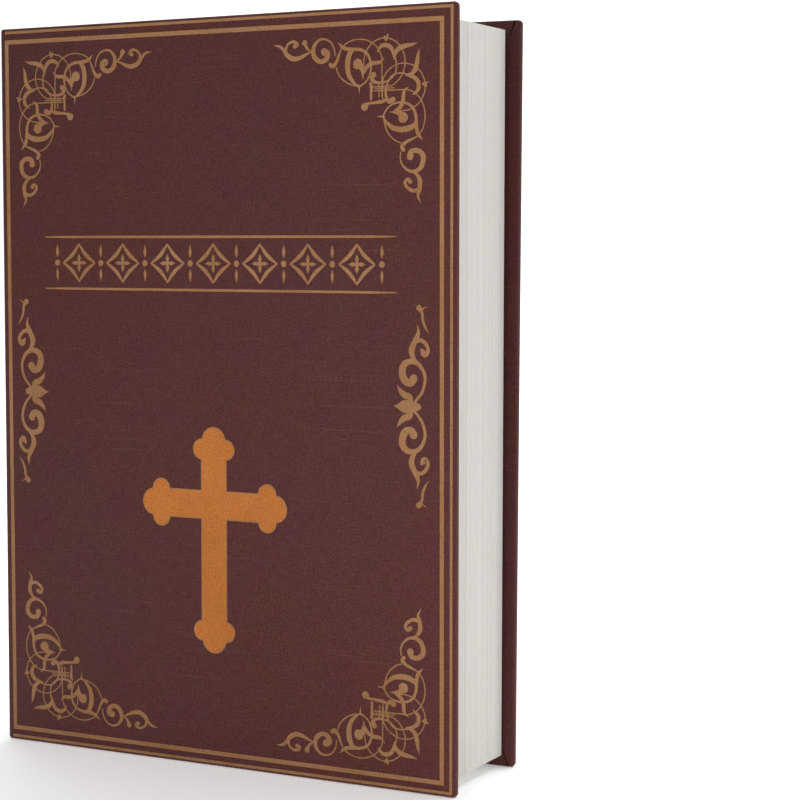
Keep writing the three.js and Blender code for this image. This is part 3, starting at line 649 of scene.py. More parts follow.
class MeshPen:
    """Collects the corners and faces of one piece, in millimetres."""

    def __init__(self) -> None:
        """Starts with nothing drawn."""
        self.corners: list[Point] = []
        self.faces: list[tuple[int, ...]] = []

    def loop(self, points: Iterable[Point]) -> list[int]:
        """Adds points and returns their numbers.

        Args:
            points: Corners in millimetres.

        Returns:
            The numbers of the new corners.
        """
        start = len(self.corners)
        self.corners.extend(points)
        return list(range(start, len(self.corners)))

    def bridge(self, first: Sequence[int], second: Sequence[int], closed: bool = True) -> None:
        """Joins two loops of the same length with four-sided faces.

        Args:
            first: Numbers of the first loop.
            second: Numbers of the second loop.
            closed: Whether the loops close on themselves.
        """
        count = len(first)
        for index in range(count if closed else count - 1):
            after = (index + 1) % count
            self.faces.append((first[index], first[after], second[after], second[index]))

    def cap(self, loop: Sequence[int]) -> None:
        """Closes a loop with one face."""
        self.faces.append(tuple(loop))

    def tube(self, loops: Sequence[Sequence[int]], capped: bool = False) -> None:
        """Joins each loop with the next.

        Args:
            loops: The loops in order.
            capped: Whether a face closes the first loop and the last.
        """
        for before, after in zip(loops, loops[1:]):
            self.bridge(before, after)
        if capped:
            self.cap(loops[0])
            self.cap(loops[-1])

    def sheet(self, rows: Sequence[Sequence[int]], half: int) -> None:
        """Joins rows that run along a sheet's outside and back along its inside, and closes its ends.

        Args:
            rows: The rows in order.
            half: Number of points on each side.
        """
        self.tube(rows)
        for row in (rows[0], rows[-1]):
            for index in range(half - 1):
                self.faces.append((row[index], row[index + 1], row[-index - 2], row[-index - 1]))

    def ribbon(self, left: Sequence[Flat], right: Sequence[Flat], top: float, foot: float,
               closed: bool = False) -> None:
        """Draws a flat bar between two lines.

        Args:
            left: Points of the one line in X and Z.
            right: Points of the other line.
            top: Y of its face.
            foot: Y of its underside.
            closed: Whether the lines close on themselves.
        """
        rails = [self.loop((x, y, z) for x, z in edge)
                 for edge, y in ((left, top), (right, top), (right, foot), (left, foot))]
        for rail, beside in zip(rails, rails[1:] + rails[:1]):
            self.bridge(rail, beside, closed)
        if not closed:
            self.cap([rail[0] for rail in rails])
            self.cap([rail[-1] for rail in rails])

    def piece(self, name: str, smooth: float = 40.0, even: bool = True) -> bpy.types.Object:
        """Makes the object.

        Args:
            name: Name of the piece.
            smooth: Angle in degrees below which an edge is shaded smooth.
            even: Whether large faces keep their own normals beside rounded edges.

        Returns:
            The new object.
        """
        mesh = bpy.data.meshes.new(name)
        corners = [tuple(value * MM for value in corner) for corner in self.corners]
        mesh.from_pydata(corners, [], self.faces)
        return finished_mesh(name, mesh, smooth, even)


def finished_mesh(name: str, mesh: bpy.types.Mesh, smooth: float, even: bool = True) -> bpy.types.Object:
    """Merges doubles, faces every normal outward and puts the mesh in the scene.

    Args:
        name: Name of the piece.
        mesh: Its mesh.
        smooth: Angle in degrees below which an edge is shaded smooth.
        even: Whether large faces keep their own normals beside rounded edges.

    Returns:
        The new object.
    """
    work = bmesh.new()
    work.from_mesh(mesh)
    bmesh.ops.remove_doubles(work, verts=work.verts, dist=0.0005 * MM)
    bmesh.ops.dissolve_degenerate(work, edges=work.edges, dist=0.0005 * MM)
    bmesh.ops.recalc_face_normals(work, faces=work.faces)
    work.to_mesh(mesh)
    work.free()
    mesh.shade_smooth()
    mesh.set_sharp_from_angle(angle=math.radians(smooth))
    piece = bpy.data.objects.new(name, mesh)
    bpy.context.scene.collection.objects.link(piece)
    if even:
        even_normals(piece)
    return piece


def even_normals(piece: bpy.types.Object) -> None:
    """Weighs a piece's normals by the size of its faces and keeps them in its mesh.

    Args:
        piece: The piece.
    """
    weigh = piece.modifiers.new("even", "WEIGHTED_NORMAL")
    weigh.keep_sharp = True
    weigh.weight = 70
    bpy.context.view_layer.update()
    graph = bpy.context.evaluated_depsgraph_get()
    mesh = bpy.data.meshes.new_from_object(piece.evaluated_get(graph))
    plain = piece.data
    piece.modifiers.clear()
    piece.data = mesh
    name = plain.name
    bpy.data.meshes.remove(plain)
    mesh.name = name


def dress(piece: bpy.types.Object, material: bpy.types.Material, slot: str) -> bpy.types.Object:
    """Gives a piece its only material and logs the name of the record's slot.

    Args:
        piece: The piece or carried-over node.
        material: The material.
        slot: Slot of the record.

    Returns:
        The same piece.
    """
    piece.data.materials.clear()
    piece.data.materials.append(material)
    LOG.info("%s is dressed as %s", piece.name, slot)
    return piece


def settle(piece: bpy.types.Object, body: str, *nodes: str) -> bpy.types.Object:
    """Makes a piece ride on a body and stand for the nodes it replaces.

    Args:
        piece: The piece.
        body: Name of the body that carries it.
        nodes: Names of the nodes that it stands for.

    Returns:
        The same piece.
    """
    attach(piece, body)
    if nodes:
        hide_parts(*nodes)
    LOG.info("%s rides on %s", piece.name, body)
    return piece


def refined(node: str, name: str, width: float, segments: int = 2,
            angle: float = 32.0) -> bpy.types.Object:
    """Copies a node's solid into a new piece and rounds its edges.

    Args:
        node: The node.
        name: Name of the new piece.
        width: Width of the rounding in millimetres.
        segments: Steps of the rounding.
        angle: Edges sharper than this many degrees are rounded.

    Returns:
        The new piece.
    """
    mesh = bpy.data.meshes.new(name)
    work = bmesh.new()
    work.from_mesh(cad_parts[node].data)
    bmesh.ops.remove_doubles(work, verts=work.verts, dist=0.002 * MM)
    bmesh.ops.dissolve_limit(work, angle_limit=math.radians(0.6), verts=work.verts, edges=work.edges)
    sharp = [edge for edge in work.edges
             if len(edge.link_faces) == 2 and edge.calc_face_angle() > math.radians(angle)]
    bmesh.ops.bevel(work, geom=sharp, offset=width * MM, segments=segments, profile=0.5,
                    affect="EDGES", clamp_overlap=True)
    work.to_mesh(mesh)
    work.free()
    return finished_mesh(name, mesh, 38.0)


def turned(name: str, profile: Sequence[Flat], centre: Flat, axis: Axis, sides: int = 40,
           ripple: Callable[[float, float, float], float] | None = None) -> bpy.types.Object:
    """Turns a profile round an axis.

    Args:
        name: Name of the piece.
        profile: Radius and place along the axis of each point, from one end to the other.
        centre: The axis's place in the other two directions, in the order of X, Y, Z.
        axis: Direction of the axis.
        sides: Steps round the axis.
        ripple: Change of radius for a radius, a place and an angle, for knurls and notches.

    Returns:
        The new piece.
    """
    pen = MeshPen()
    rings = []
    for radius, along in profile:
        ring = []
        for step in range(sides):
            angle = 2 * math.pi * step / sides
            reach = radius + (ripple(radius, along, angle) if ripple else 0.0)
            first = centre[0] + reach * math.cos(angle)
            second = centre[1] + reach * math.sin(angle)
            ring.append({Axis.X: (along, first, second), Axis.Y: (first, along, second),
                         Axis.Z: (first, second, along)}[axis])
        rings.append(pen.loop(ring))
    pen.tube(rings, capped=True)
    return pen.piece(name, 35.0)


def united(name: str, pieces: Sequence[bpy.types.Object], smooth: float = 30.0,
           operation: str = "UNION") -> bpy.types.Object:
    """Joins overlapping solids into one by exact booleans, or cuts them out of the first.

    Args:
        name: Name of the result.
        pieces: The solids, which are used up.
        smooth: Angle in degrees below which an edge is shaded smooth.
        operation: UNION, or DIFFERENCE to cut.

    Returns:
        The new piece.
    """
    whole = pieces[0]
    for other in pieces[1:]:
        step = whole.modifiers.new("join", "BOOLEAN")
        step.operation = operation
        step.solver = "EXACT"
        step.object = other
    bpy.context.view_layer.update()
    graph = bpy.context.evaluated_depsgraph_get()
    mesh = bpy.data.meshes.new_from_object(whole.evaluated_get(graph))
    mesh.name = name
    for piece in pieces:
        bpy.data.objects.remove(piece)
    return finished_mesh(name, mesh, smooth)


# Covers and spine


@dataclass(frozen=True)
class Flare:
    """Spring of a cover: its fore-edge stands a little away from the pages, most at the head."""

    face: Face
    out: float
    widen: float
    lift: float = 0.0
    tail_share: float = 0.3
    hinge_x: float = -82.0
    reach: float = 166.5
    height: float = 240.0
    pitch: float = 20.0
    first_cut: float = -80.0

    def apply(self, piece: bpy.types.Object, cuts: bool = True) -> bpy.types.Object:
        """Bends a piece with its cover.

        Args:
            piece: The piece, still in the frame's own place.
            cuts: Whether its large faces are cut up first.

        Returns:
            The same piece.
        """
        work = bmesh.new()
        work.from_mesh(piece.data)
        if cuts:
            for normal, end in (((1, 0, 0), self.reach / 2), ((0, 0, 1), self.height)):
                along = self.first_cut if normal[0] else self.pitch
                while along < end:
                    whole = work.verts[:] + work.edges[:] + work.faces[:]
                    bmesh.ops.bisect_plane(work, geom=whole, dist=0.0001 * MM, plane_no=normal,
                                           plane_co=tuple(along * MM * axis for axis in normal))
                    along += self.pitch
        for corner in work.verts:
            across = max(0.0, (corner.co.x / MM - self.hinge_x) / self.reach)
            up = corner.co.z / MM / self.height
            share = across ** 2 * (self.tail_share + (1 - self.tail_share) * up)
            corner.co.y += self.face.value * self.out * share * MM
            corner.co.x += self.widen * share * MM
            corner.co.z += self.lift * across * up * MM
        work.to_mesh(piece.data)
        work.free()
        custom = piece.data.attributes.get("custom_normal")
        if custom is not None:
            piece.data.attributes.remove(custom)
            even_normals(piece)
        return piece


FLARES = {
    Face.FRONT: Flare(Face.FRONT, out=1.35, widen=0.0, lift=0.5),
    Face.BACK: Flare(Face.BACK, out=1.35, widen=0.85, lift=-0.7),
}


@dataclass
class CoverCase:
    """The two covers, the square spine and the cloth hinge between them."""

    materials: dict[str, bpy.types.Material]
    spine_x: float = -85.2
    fore_x: float = 84.5
    height: float = 240.0
    corner_radius: float = 1.3
    edge_radius: float = 0.95
    cover_depth: float = 2.9
    lip_depth: float = 0.4
    turn_in: float = 14.0
    front_face: float = -22.4
    back_face: float = 22.5
    joint_end_x: float = -82.4
    joint_radius: float = 1.25
    spine_depth: float = 3.3
    cloth: float = 0.38
    fold_rise: float = 0.14
    slit_depth: float = 1.3
    slit_line: Stroke = ((82.85, -0.3, 0.62), (82.65, 0.6, 0.62), (81.98, 2.0, 0.56), (81.48, 3.4, 0.46),
                         (81.17, 4.6, 0.3), (81.08, 5.6, 0.12))
    board_spare: float = 0.35
    hem_sunk: float = 0.3
    hem_gap: float = 0.02
    fold_overlap: float = 0.05
    mitre: Sequence[Flat] = ((81.7, 2.0), (81.25, 3.4), (81.0, 5.0))
    seam: float = 18.0
    rabbet: float = 0.42
    spine_sides: Flat = (-19.27, 19.67)

    def outer(self, face: Face) -> float:
        """Returns the Y of a cover's outside."""
        return self.front_face if face is Face.FRONT else self.back_face

    def quarter(self) -> list[Flat]:
        """Finds the points of the rounded edge between two outer faces.

        Returns:
            Distances of each point below the one and the other face.
        """
        turns = [step * math.pi / 10 for step in range(6)]
        return [(self.edge_radius * (1 - math.cos(turn)), self.edge_radius * (1 - math.sin(turn)))
                for turn in turns]

    def outline(self, x0: float, inset: float) -> list[Flat]:
        """Returns the cover's outline from the spine side's tail round to its head.

        Args:
            x0: Place of the spine side, which isn't inset.
            inset: Distance inside the cover's own edge.

        Returns:
            Points in X and Z.
        """
        tail, head, fore = inset, self.height - inset, self.fore_x - inset
        radius = max(0.25, self.corner_radius - inset)
        window, upper = self.fore_x - self.turn_in, self.height - self.turn_in
        centre = fore - radius
        points = [(x0, tail), (window, tail)]
        for step in range(7):
            angle = -math.pi / 2 + step * math.pi / 12
            points.append((centre + radius * math.cos(angle), tail + radius + radius * math.sin(angle)))
        points.extend([(fore, self.turn_in), (fore, upper)])
        for step in range(7):
            angle = step * math.pi / 12
            points.append((centre + radius * math.cos(angle), head - radius + radius * math.sin(angle)))
        points.extend([(window, head), (x0, head), (x0, upper), (x0, self.turn_in)])
        return points

    def slab(self, name: str, face: Face) -> bpy.types.Object:
        """Builds one cover's cloth: rounded outside, with the turned-in border inside.

        Args:
            name: Name of the piece.
            face: Side of the book.

        Returns:
            The new piece.
        """
        outer, inward = self.outer(face), -face.value
        pen = MeshPen()
        levels = self.quarter() + [(self.cover_depth - below, beside) for beside, below in self.quarter()]
        rings = []
        for depth, inset in levels:
            y = outer + inward * depth
            rings.append(pen.loop((x, y, z) for x, z in self.outline(self.joint_end_x, inset)))
        pen.tube(rings)
        pen.cap(rings[0])
        window = (self.fore_x - self.turn_in, self.turn_in, self.height - self.turn_in)
        edge = self.outline(self.joint_end_x, self.edge_radius)
        flat = [(min(x, window[0]), min(max(z, window[1]), window[2])) for x, z in edge]
        inner = outer + inward * self.cover_depth
        lip = pen.loop((x, inner, z) for x, z in flat)
        foot = pen.loop((x, inner - inward * self.lip_depth, z) for x, z in flat)
        pen.bridge(rings[-1], lip)
        pen.bridge(lip, foot)
        floor = [foot[index] for index in self.window_corners(flat)]
        pen.cap(floor)
        body = pen.piece(name + "_whole", 45.0)
        return self.slitted(name, body, face, 0.0)

    def slitted(self, name: str, piece: bpy.types.Object, face: Face, spare: float) -> bpy.types.Object:
        """Cuts both fore corners' mitre slits into a piece.

        Args:
            name: Name of the new piece.
            piece: The piece to cut, which is used up.
            face: Side of the book.
            spare: Distance that the cut stays clear of the slit in the cloth.

        Returns:
            The new piece.
        """
        cutters = [self.slit(face, head, spare) for head in (False, True)]
        return united(name, [piece, *cutters], 45.0, "DIFFERENCE")

    def slit(self, face: Face, head: bool, spare: float) -> bpy.types.Object:
        """Builds the cutter for the open mitre where two turn-ins meet at a fore corner.

        Args:
            face: Side of the book.
            head: Whether it is the head's corner.
            spare: Distance added on each side of the slit.

        Returns:
            The cutter.
        """
        inner = self.outer(face) - face.value * self.cover_depth
        (x0, z0, first), *middle, (x1, z1, last) = self.slit_line
        path = [(x0, z0 - spare, first), *middle, (x1, z1 + spare, last)]
        outline = [(x - width / 2 - spare, z) for x, z, width in path]
        outline += [(x + width / 2 + spare, z) for x, z, width in reversed(path)]
        if head:
            outline = [(x, self.height - z) for x, z in reversed(outline)]
        pen = MeshPen()
        low = pen.loop((x, inner + face.value * (self.slit_depth + spare), z) for x, z in outline)
        high = pen.loop((x, inner - face.value * 0.5, z) for x, z in outline)
        pen.tube([low, high], capped=True)
        return pen.piece(f"{face.name.lower()}_slit_cutter", 30.0, even=False)

    def hem(self, name: str, face: Face) -> bpy.types.Object:
        """Builds the cloth that wraps a cover's ends beside the joint, under the joint's strip.

        Args:
            name: Name of the piece.
            face: Side of the book.

        Returns:
            The new piece.
        """
        outer, gap = self.outer(face), self.hem_gap
        profile = [(self.hem_sunk, self.edge_radius)]
        profile += [point for point in self.quarter() if point[0] > self.hem_sunk]
        profile += [(self.cover_depth - below, beside) for beside, below in self.quarter()]
        loop = [(depth, inset + gap) for depth, inset in profile]
        loop += [(depth, self.height - inset - gap) for depth, inset in reversed(profile)]
        pen = MeshPen()
        ends = [pen.loop((x, outer - face.value * depth, z) for depth, z in loop)
                for x in (self.spine_x + 0.9, self.joint_end_x + 0.06)]
        pen.tube(ends, capped=True)
        return pen.piece(name, 40.0)

    @staticmethod
    def window_corners(flat: Sequence[Flat]) -> list[int]:
        """Finds the points where the window's outline turns.

        Args:
            flat: The outline, in which neighbouring points may share a place.

        Returns:
            The numbers of the points, each place once.
        """
        found: list[int] = []
        for index, point in enumerate(flat):
            if not any(math.dist(point, flat[other]) < 1e-6 for other in found):
                found.append(index)
        return found

    def fold(self, name: str, face: Face, head: bool) -> bpy.types.Object:
        """Builds the raised layer of a head or tail turn-in, with its mitred end at the fore-edge.

        Args:
            name: Name of the piece.
            face: Side of the book.
            head: Whether it is the head's turn-in.

        Returns:
            The new piece.
        """
        inner = self.outer(face) - face.value * self.cover_depth
        window, start, rim = self.fore_x - self.turn_in, self.joint_end_x + 1.0, 0.75
        inside = self.turn_in + self.fold_overlap
        points = [(start, rim), (82.3, rim), *self.mitre, (window + 3.0, self.turn_in - 2.6),
                  (window - 0.4, inside), (start, inside)]
        if head:
            points = [(x, self.height - z) for x, z in reversed(points)]
        pen = MeshPen()
        low = pen.loop((x, inner + face.value * self.fold_overlap, z) for x, z in points)
        high = pen.loop((x, inner - face.value * self.fold_rise, z) for x, z in points)
        pen.tube([low, high], capped=True)
        piece = pen.piece(name, 30.0)
        self.soften(piece, 0.06)
        return piece

    @staticmethod
    def soften(piece: bpy.types.Object, width: float) -> None:
        """Rounds every sharp edge of a piece.

        Args:
            piece: The piece.
            width: Width of the rounding in millimetres.
        """
        work = bmesh.new()
        work.from_mesh(piece.data)
        sharp = [edge for edge in work.edges
                 if len(edge.link_faces) == 2 and edge.calc_face_angle() > math.radians(35)]
        bmesh.ops.bevel(work, geom=sharp, offset=width * MM, segments=2, profile=0.5,
                        affect="EDGES", clamp_overlap=True)
        work.to_mesh(piece.data)
        work.free()
        piece.data.shade_smooth()
        piece.data.set_sharp_from_angle(angle=math.radians(45))

    def joint_path(self, face: Face) -> list[Flat]:
        """Returns the cloth's outer line from the spine round to a cover.

        Args:
            face: Side of the book.

        Returns:
            Points in X and Y.
        """
        outer, side, radius = self.outer(face), face.value, self.joint_radius
        path = [(self.spine_x, side * self.seam), (self.spine_x, side * 19.6),
                (self.spine_x, outer - side * radius)]
        for step in range(1, 8):
            angle = step * math.pi / 16
            path.append((self.spine_x + radius * (1 - math.cos(angle)),
                         outer - side * radius * (1 - math.sin(angle))))
        path.extend([(self.spine_x + radius, outer), (self.joint_end_x, outer)])
        return path

    def joint(self, name: str, face: Face) -> bpy.types.Object:
        """Builds the strip of cloth that wraps the corner between spine and cover.

        Args:
            name: Name of the piece.
            face: Side of the book.

        Returns:
            The new piece.
        """
        path = self.joint_path(face)
        centre = Vector((self.spine_x + self.joint_radius,
                         self.outer(face) - face.value * self.joint_radius))
        inner = []
        for x, y in path:
            away = Vector((x, y)) - centre
            if x <= self.spine_x + 1e-6:
                away = Vector((-1.0, 0.0))
            elif abs(away.x) < 1e-6 or x > centre.x:
                away = Vector((0.0, face.value))
            away.normalize()
            inner.append((x - away.x * self.cloth, y - away.y * self.cloth))
        rows_at = self.quarter() + [(self.height * step / 8, 0.0) for step in range(1, 8)]
        rows_at += [(self.height - end, inset) for end, inset in reversed(self.quarter())]
        pen = MeshPen()
        rows = []
        for z, inset in rows_at:
            start, end = inset / self.cloth, max(1.0, (inset + 0.1) / self.cloth)
            rows.append(pen.loop(
                [(x + (ix - x) * start, y + (iy - y) * start, z) for (x, y), (ix, iy) in zip(path, inner)]
                + [(x + (ix - x) * end, y + (iy - y) * end, z)
                   for (x, y), (ix, iy) in zip(path[::-1], inner[::-1])]))
        pen.sheet(rows, len(path))
        return pen.piece(name, 50.0, even=False)

    def spine(self) -> bpy.types.Object:
        """Builds the spine's cloth over its board, rabbeted where the joints' strips lie on it.

        Returns:
            The new piece.
        """
        pen = MeshPen()
        rows = []
        inner_x, (front, back) = self.spine_x + self.spine_depth, self.spine_sides
        seam = self.seam - 0.02
        heights = self.quarter() + [(self.height - z, inset) for z, inset in reversed(self.quarter())]
        for z, inset in heights:
            outside = self.spine_x + inset
            inside, under = inner_x - inset * 0.35, outside + self.rabbet
            rows.append(pen.loop([(inside, front, z), (under, front, z), (under, -seam, z),
                                  (outside, -seam, z), (outside, seam, z), (under, seam, z),
                                  (under, back, z), (inside, back, z)]))
        pen.tube(rows, capped=True)
        return pen.piece("spine_wrap", 40.0)

    def end_strip(self) -> bpy.types.Object:
        """Builds the endpaper strip that folds from the page block onto the front cover.

        Returns:
            The new piece.
        """
        path = [(-81.75, -12.0), (-81.75, -16.0), (-81.75, -18.8), (-81.9, -19.18), (-82.2, -19.32),
                (-82.0, -19.44), (-80.8, -19.47), (-79.0, -19.48), (-74.0, -19.48)]
        sheet, margin, steps, bend = 0.06, 5.0, 12, 4
        pen = MeshPen()
        rows = []
        for step in range(steps + 1):
            z = margin + (self.height - 2 * margin) * step / steps
            upper = [(x, y, z) for x, y in path]
            lower = [(x + (sheet if index < bend else 0.0), y + (0.0 if index < bend else sheet), z)
                     for index, (x, y) in enumerate(path)]
            rows.append(pen.loop(upper + lower[::-1]))
        pen.sheet(rows, len(path))
        return pen.piece("endpaper_joint", 60.0, even=False)

    def build(self) -> None:
        """Builds and dresses the whole case."""
        cloth = self.materials["cloth"]
        for face, body in ((Face.FRONT, "front_cover"), (Face.BACK, "book_base")):
            side, flare = face.name.lower(), FLARES[face]
            wrap = flare.apply(self.slab(f"{side}_cover_wrap", face))
            settle(dress(wrap, cloth, "cover_cloth"), body, f"{side}_cover_cloth")
            settle(dress(self.hem(f"{side}_spine_hem", face), cloth, "cover_cloth"), body)
            for end in (False, True):
                fold = flare.apply(self.fold(f"{side}_{'head' if end else 'tail'}_fold", face, end))
                settle(dress(fold, cloth, "cover_cloth"), body)
            board = refined(f"{side}_cover_board", f"{side}_whole_board", 0.1, 1)
            board = flare.apply(self.slitted(f"{side}_greyboard", board, face, self.board_spare))
            settle(dress(board, self.materials["board"], "binder_board"), body, f"{side}_cover_board")
            sheet = flare.apply(refined(f"{side}_pastedown", f"{side}_endpaper", 0.03, 1))
            settle(dress(sheet, self.materials["endpaper"], "page_paper"), body, f"{side}_pastedown")
        settle(dress(self.spine(), cloth, "cover_cloth"), "book_base", "spine_cloth")
        settle(dress(self.joint("back_joint_cloth", Face.BACK), cloth, "cover_cloth"), "book_base")
        hinge = dress(self.joint("front_joint_cloth", Face.FRONT), cloth, "cover_cloth")
        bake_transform(hinge)
        strip = dress(self.end_strip(), self.materials["endpaper"], "page_paper")
        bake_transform(strip)
        dress(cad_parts["spine_board"], self.materials["board"], "binder_board")
        dress(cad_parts["spine_lining"], self.materials["kraft"], "kraft_lining")


# Gilding


def arc(centre: Flat, radii: Flat, start: float, end: float, width: float,
        steps: int = 18) -> list[Point]:
    """Returns a stroke along an ellipse.

    Args:
        centre: Middle of the ellipse.
        radii: Its radii across and down.
        start: First angle in degrees.
        end: Last angle in degrees.
        width: Width of the line.
        steps: Number of steps.

    Returns:
        Points with widths.
    """
    found = []
    for step in range(steps + 1):
        angle = math.radians(start + (end - start) * step / steps)
        across, down = radii[0] * math.cos(angle), radii[1] * math.sin(angle)
        found.append((centre[0] + across, centre[1] + down, width))
    return found


class GiltPen:
    """Draws foil strokes and dots on the front cover as one thin raised mesh."""

    def __init__(self, face_y: float, sink: float) -> None:
        """Starts a mesh on the cover's face.

        Args:
            face_y: Y of the cloth's surface in millimetres.
            sink: How far the foil's walls reach into the cloth.
        """
        self.pen = MeshPen()
        self.face = face_y
        self.sink = sink
        self.count = 0

    def level(self) -> float:
        """Returns the Y of the next stroke's face, so that crossing strokes don't share a plane."""
        self.count += 1
        return self.face - 0.035 - 0.0011 * (self.count % 50)

    def patch(self, outline: Sequence[Flat]) -> None:
        """Adds a convex patch.

        Args:
            outline: Its corners in X and Z.
        """
        y = self.level()
        top = self.pen.loop((x, y, z) for x, z in outline)
        foot = self.pen.loop((x, self.face + self.sink, z) for x, z in outline)
        self.pen.tube([top, foot], capped=True)

    def dot(self, centre: Flat, radius: float, sides: int = 20) -> None:
        """Adds a round dot.

        Args:
            centre: Its middle in X and Z.
            radius: Its radius.
            sides: Its number of corners.
        """
        self.patch([(centre[0] + radius * math.cos(2 * math.pi * step / sides),
                     centre[1] + radius * math.sin(2 * math.pi * step / sides)) for step in range(sides)])

    def stroke(self, points: Stroke, steps: int = 4) -> None:
        """Adds a line of changing width through the points.

        Args:
            points: X, Z and width of each point.
            steps: Number of steps between two points.
        """
        line = self.smoothed(points, steps)
        left, right = [], []
        for index, (x, z, width) in enumerate(line):
            before, after = line[max(index - 1, 0)], line[min(index + 1, len(line) - 1)]
            run = Vector((after[0] - before[0], after[1] - before[1]))
            if run.length < 1e-6:
                continue
            run.normalize()
            half = max(width, 0.05) / 2
            left.append((x - run.y * half, z + run.x * half))
            right.append((x + run.y * half, z - run.x * half))
        self.pen.ribbon(left, right, self.level(), self.face + self.sink)
        for end in (line[0], line[-1]):
            if end[2] > 0.35:
                self.dot((end[0], end[1]), end[2] / 2, 12)

    @staticmethod
    def smoothed(points: Stroke, steps: int) -> list[tuple[float, float, float]]:
        """Returns the points of a smooth curve through the given ones.

        Args:
            points: X, Z and width of each point.
            steps: Number of steps between two points.

        Returns:
            The finer points.
        """
        found = []
        last = len(points) - 1
        for index in range(last):
            p0, p1 = points[max(index - 1, 0)], points[index]
            p2, p3 = points[index + 1], points[min(index + 2, last)]
            for step in range(steps):
                t = step / steps
                found.append(tuple(
                    0.5 * (2 * b + (c - a) * t + (2 * a - 5 * b + 4 * c - d) * t * t
                           + (3 * b - a - 3 * c + d) * t ** 3)
                    for a, b, c, d in zip(p0, p1, p2, p3)))
        found.append(tuple(points[last]))
        return found


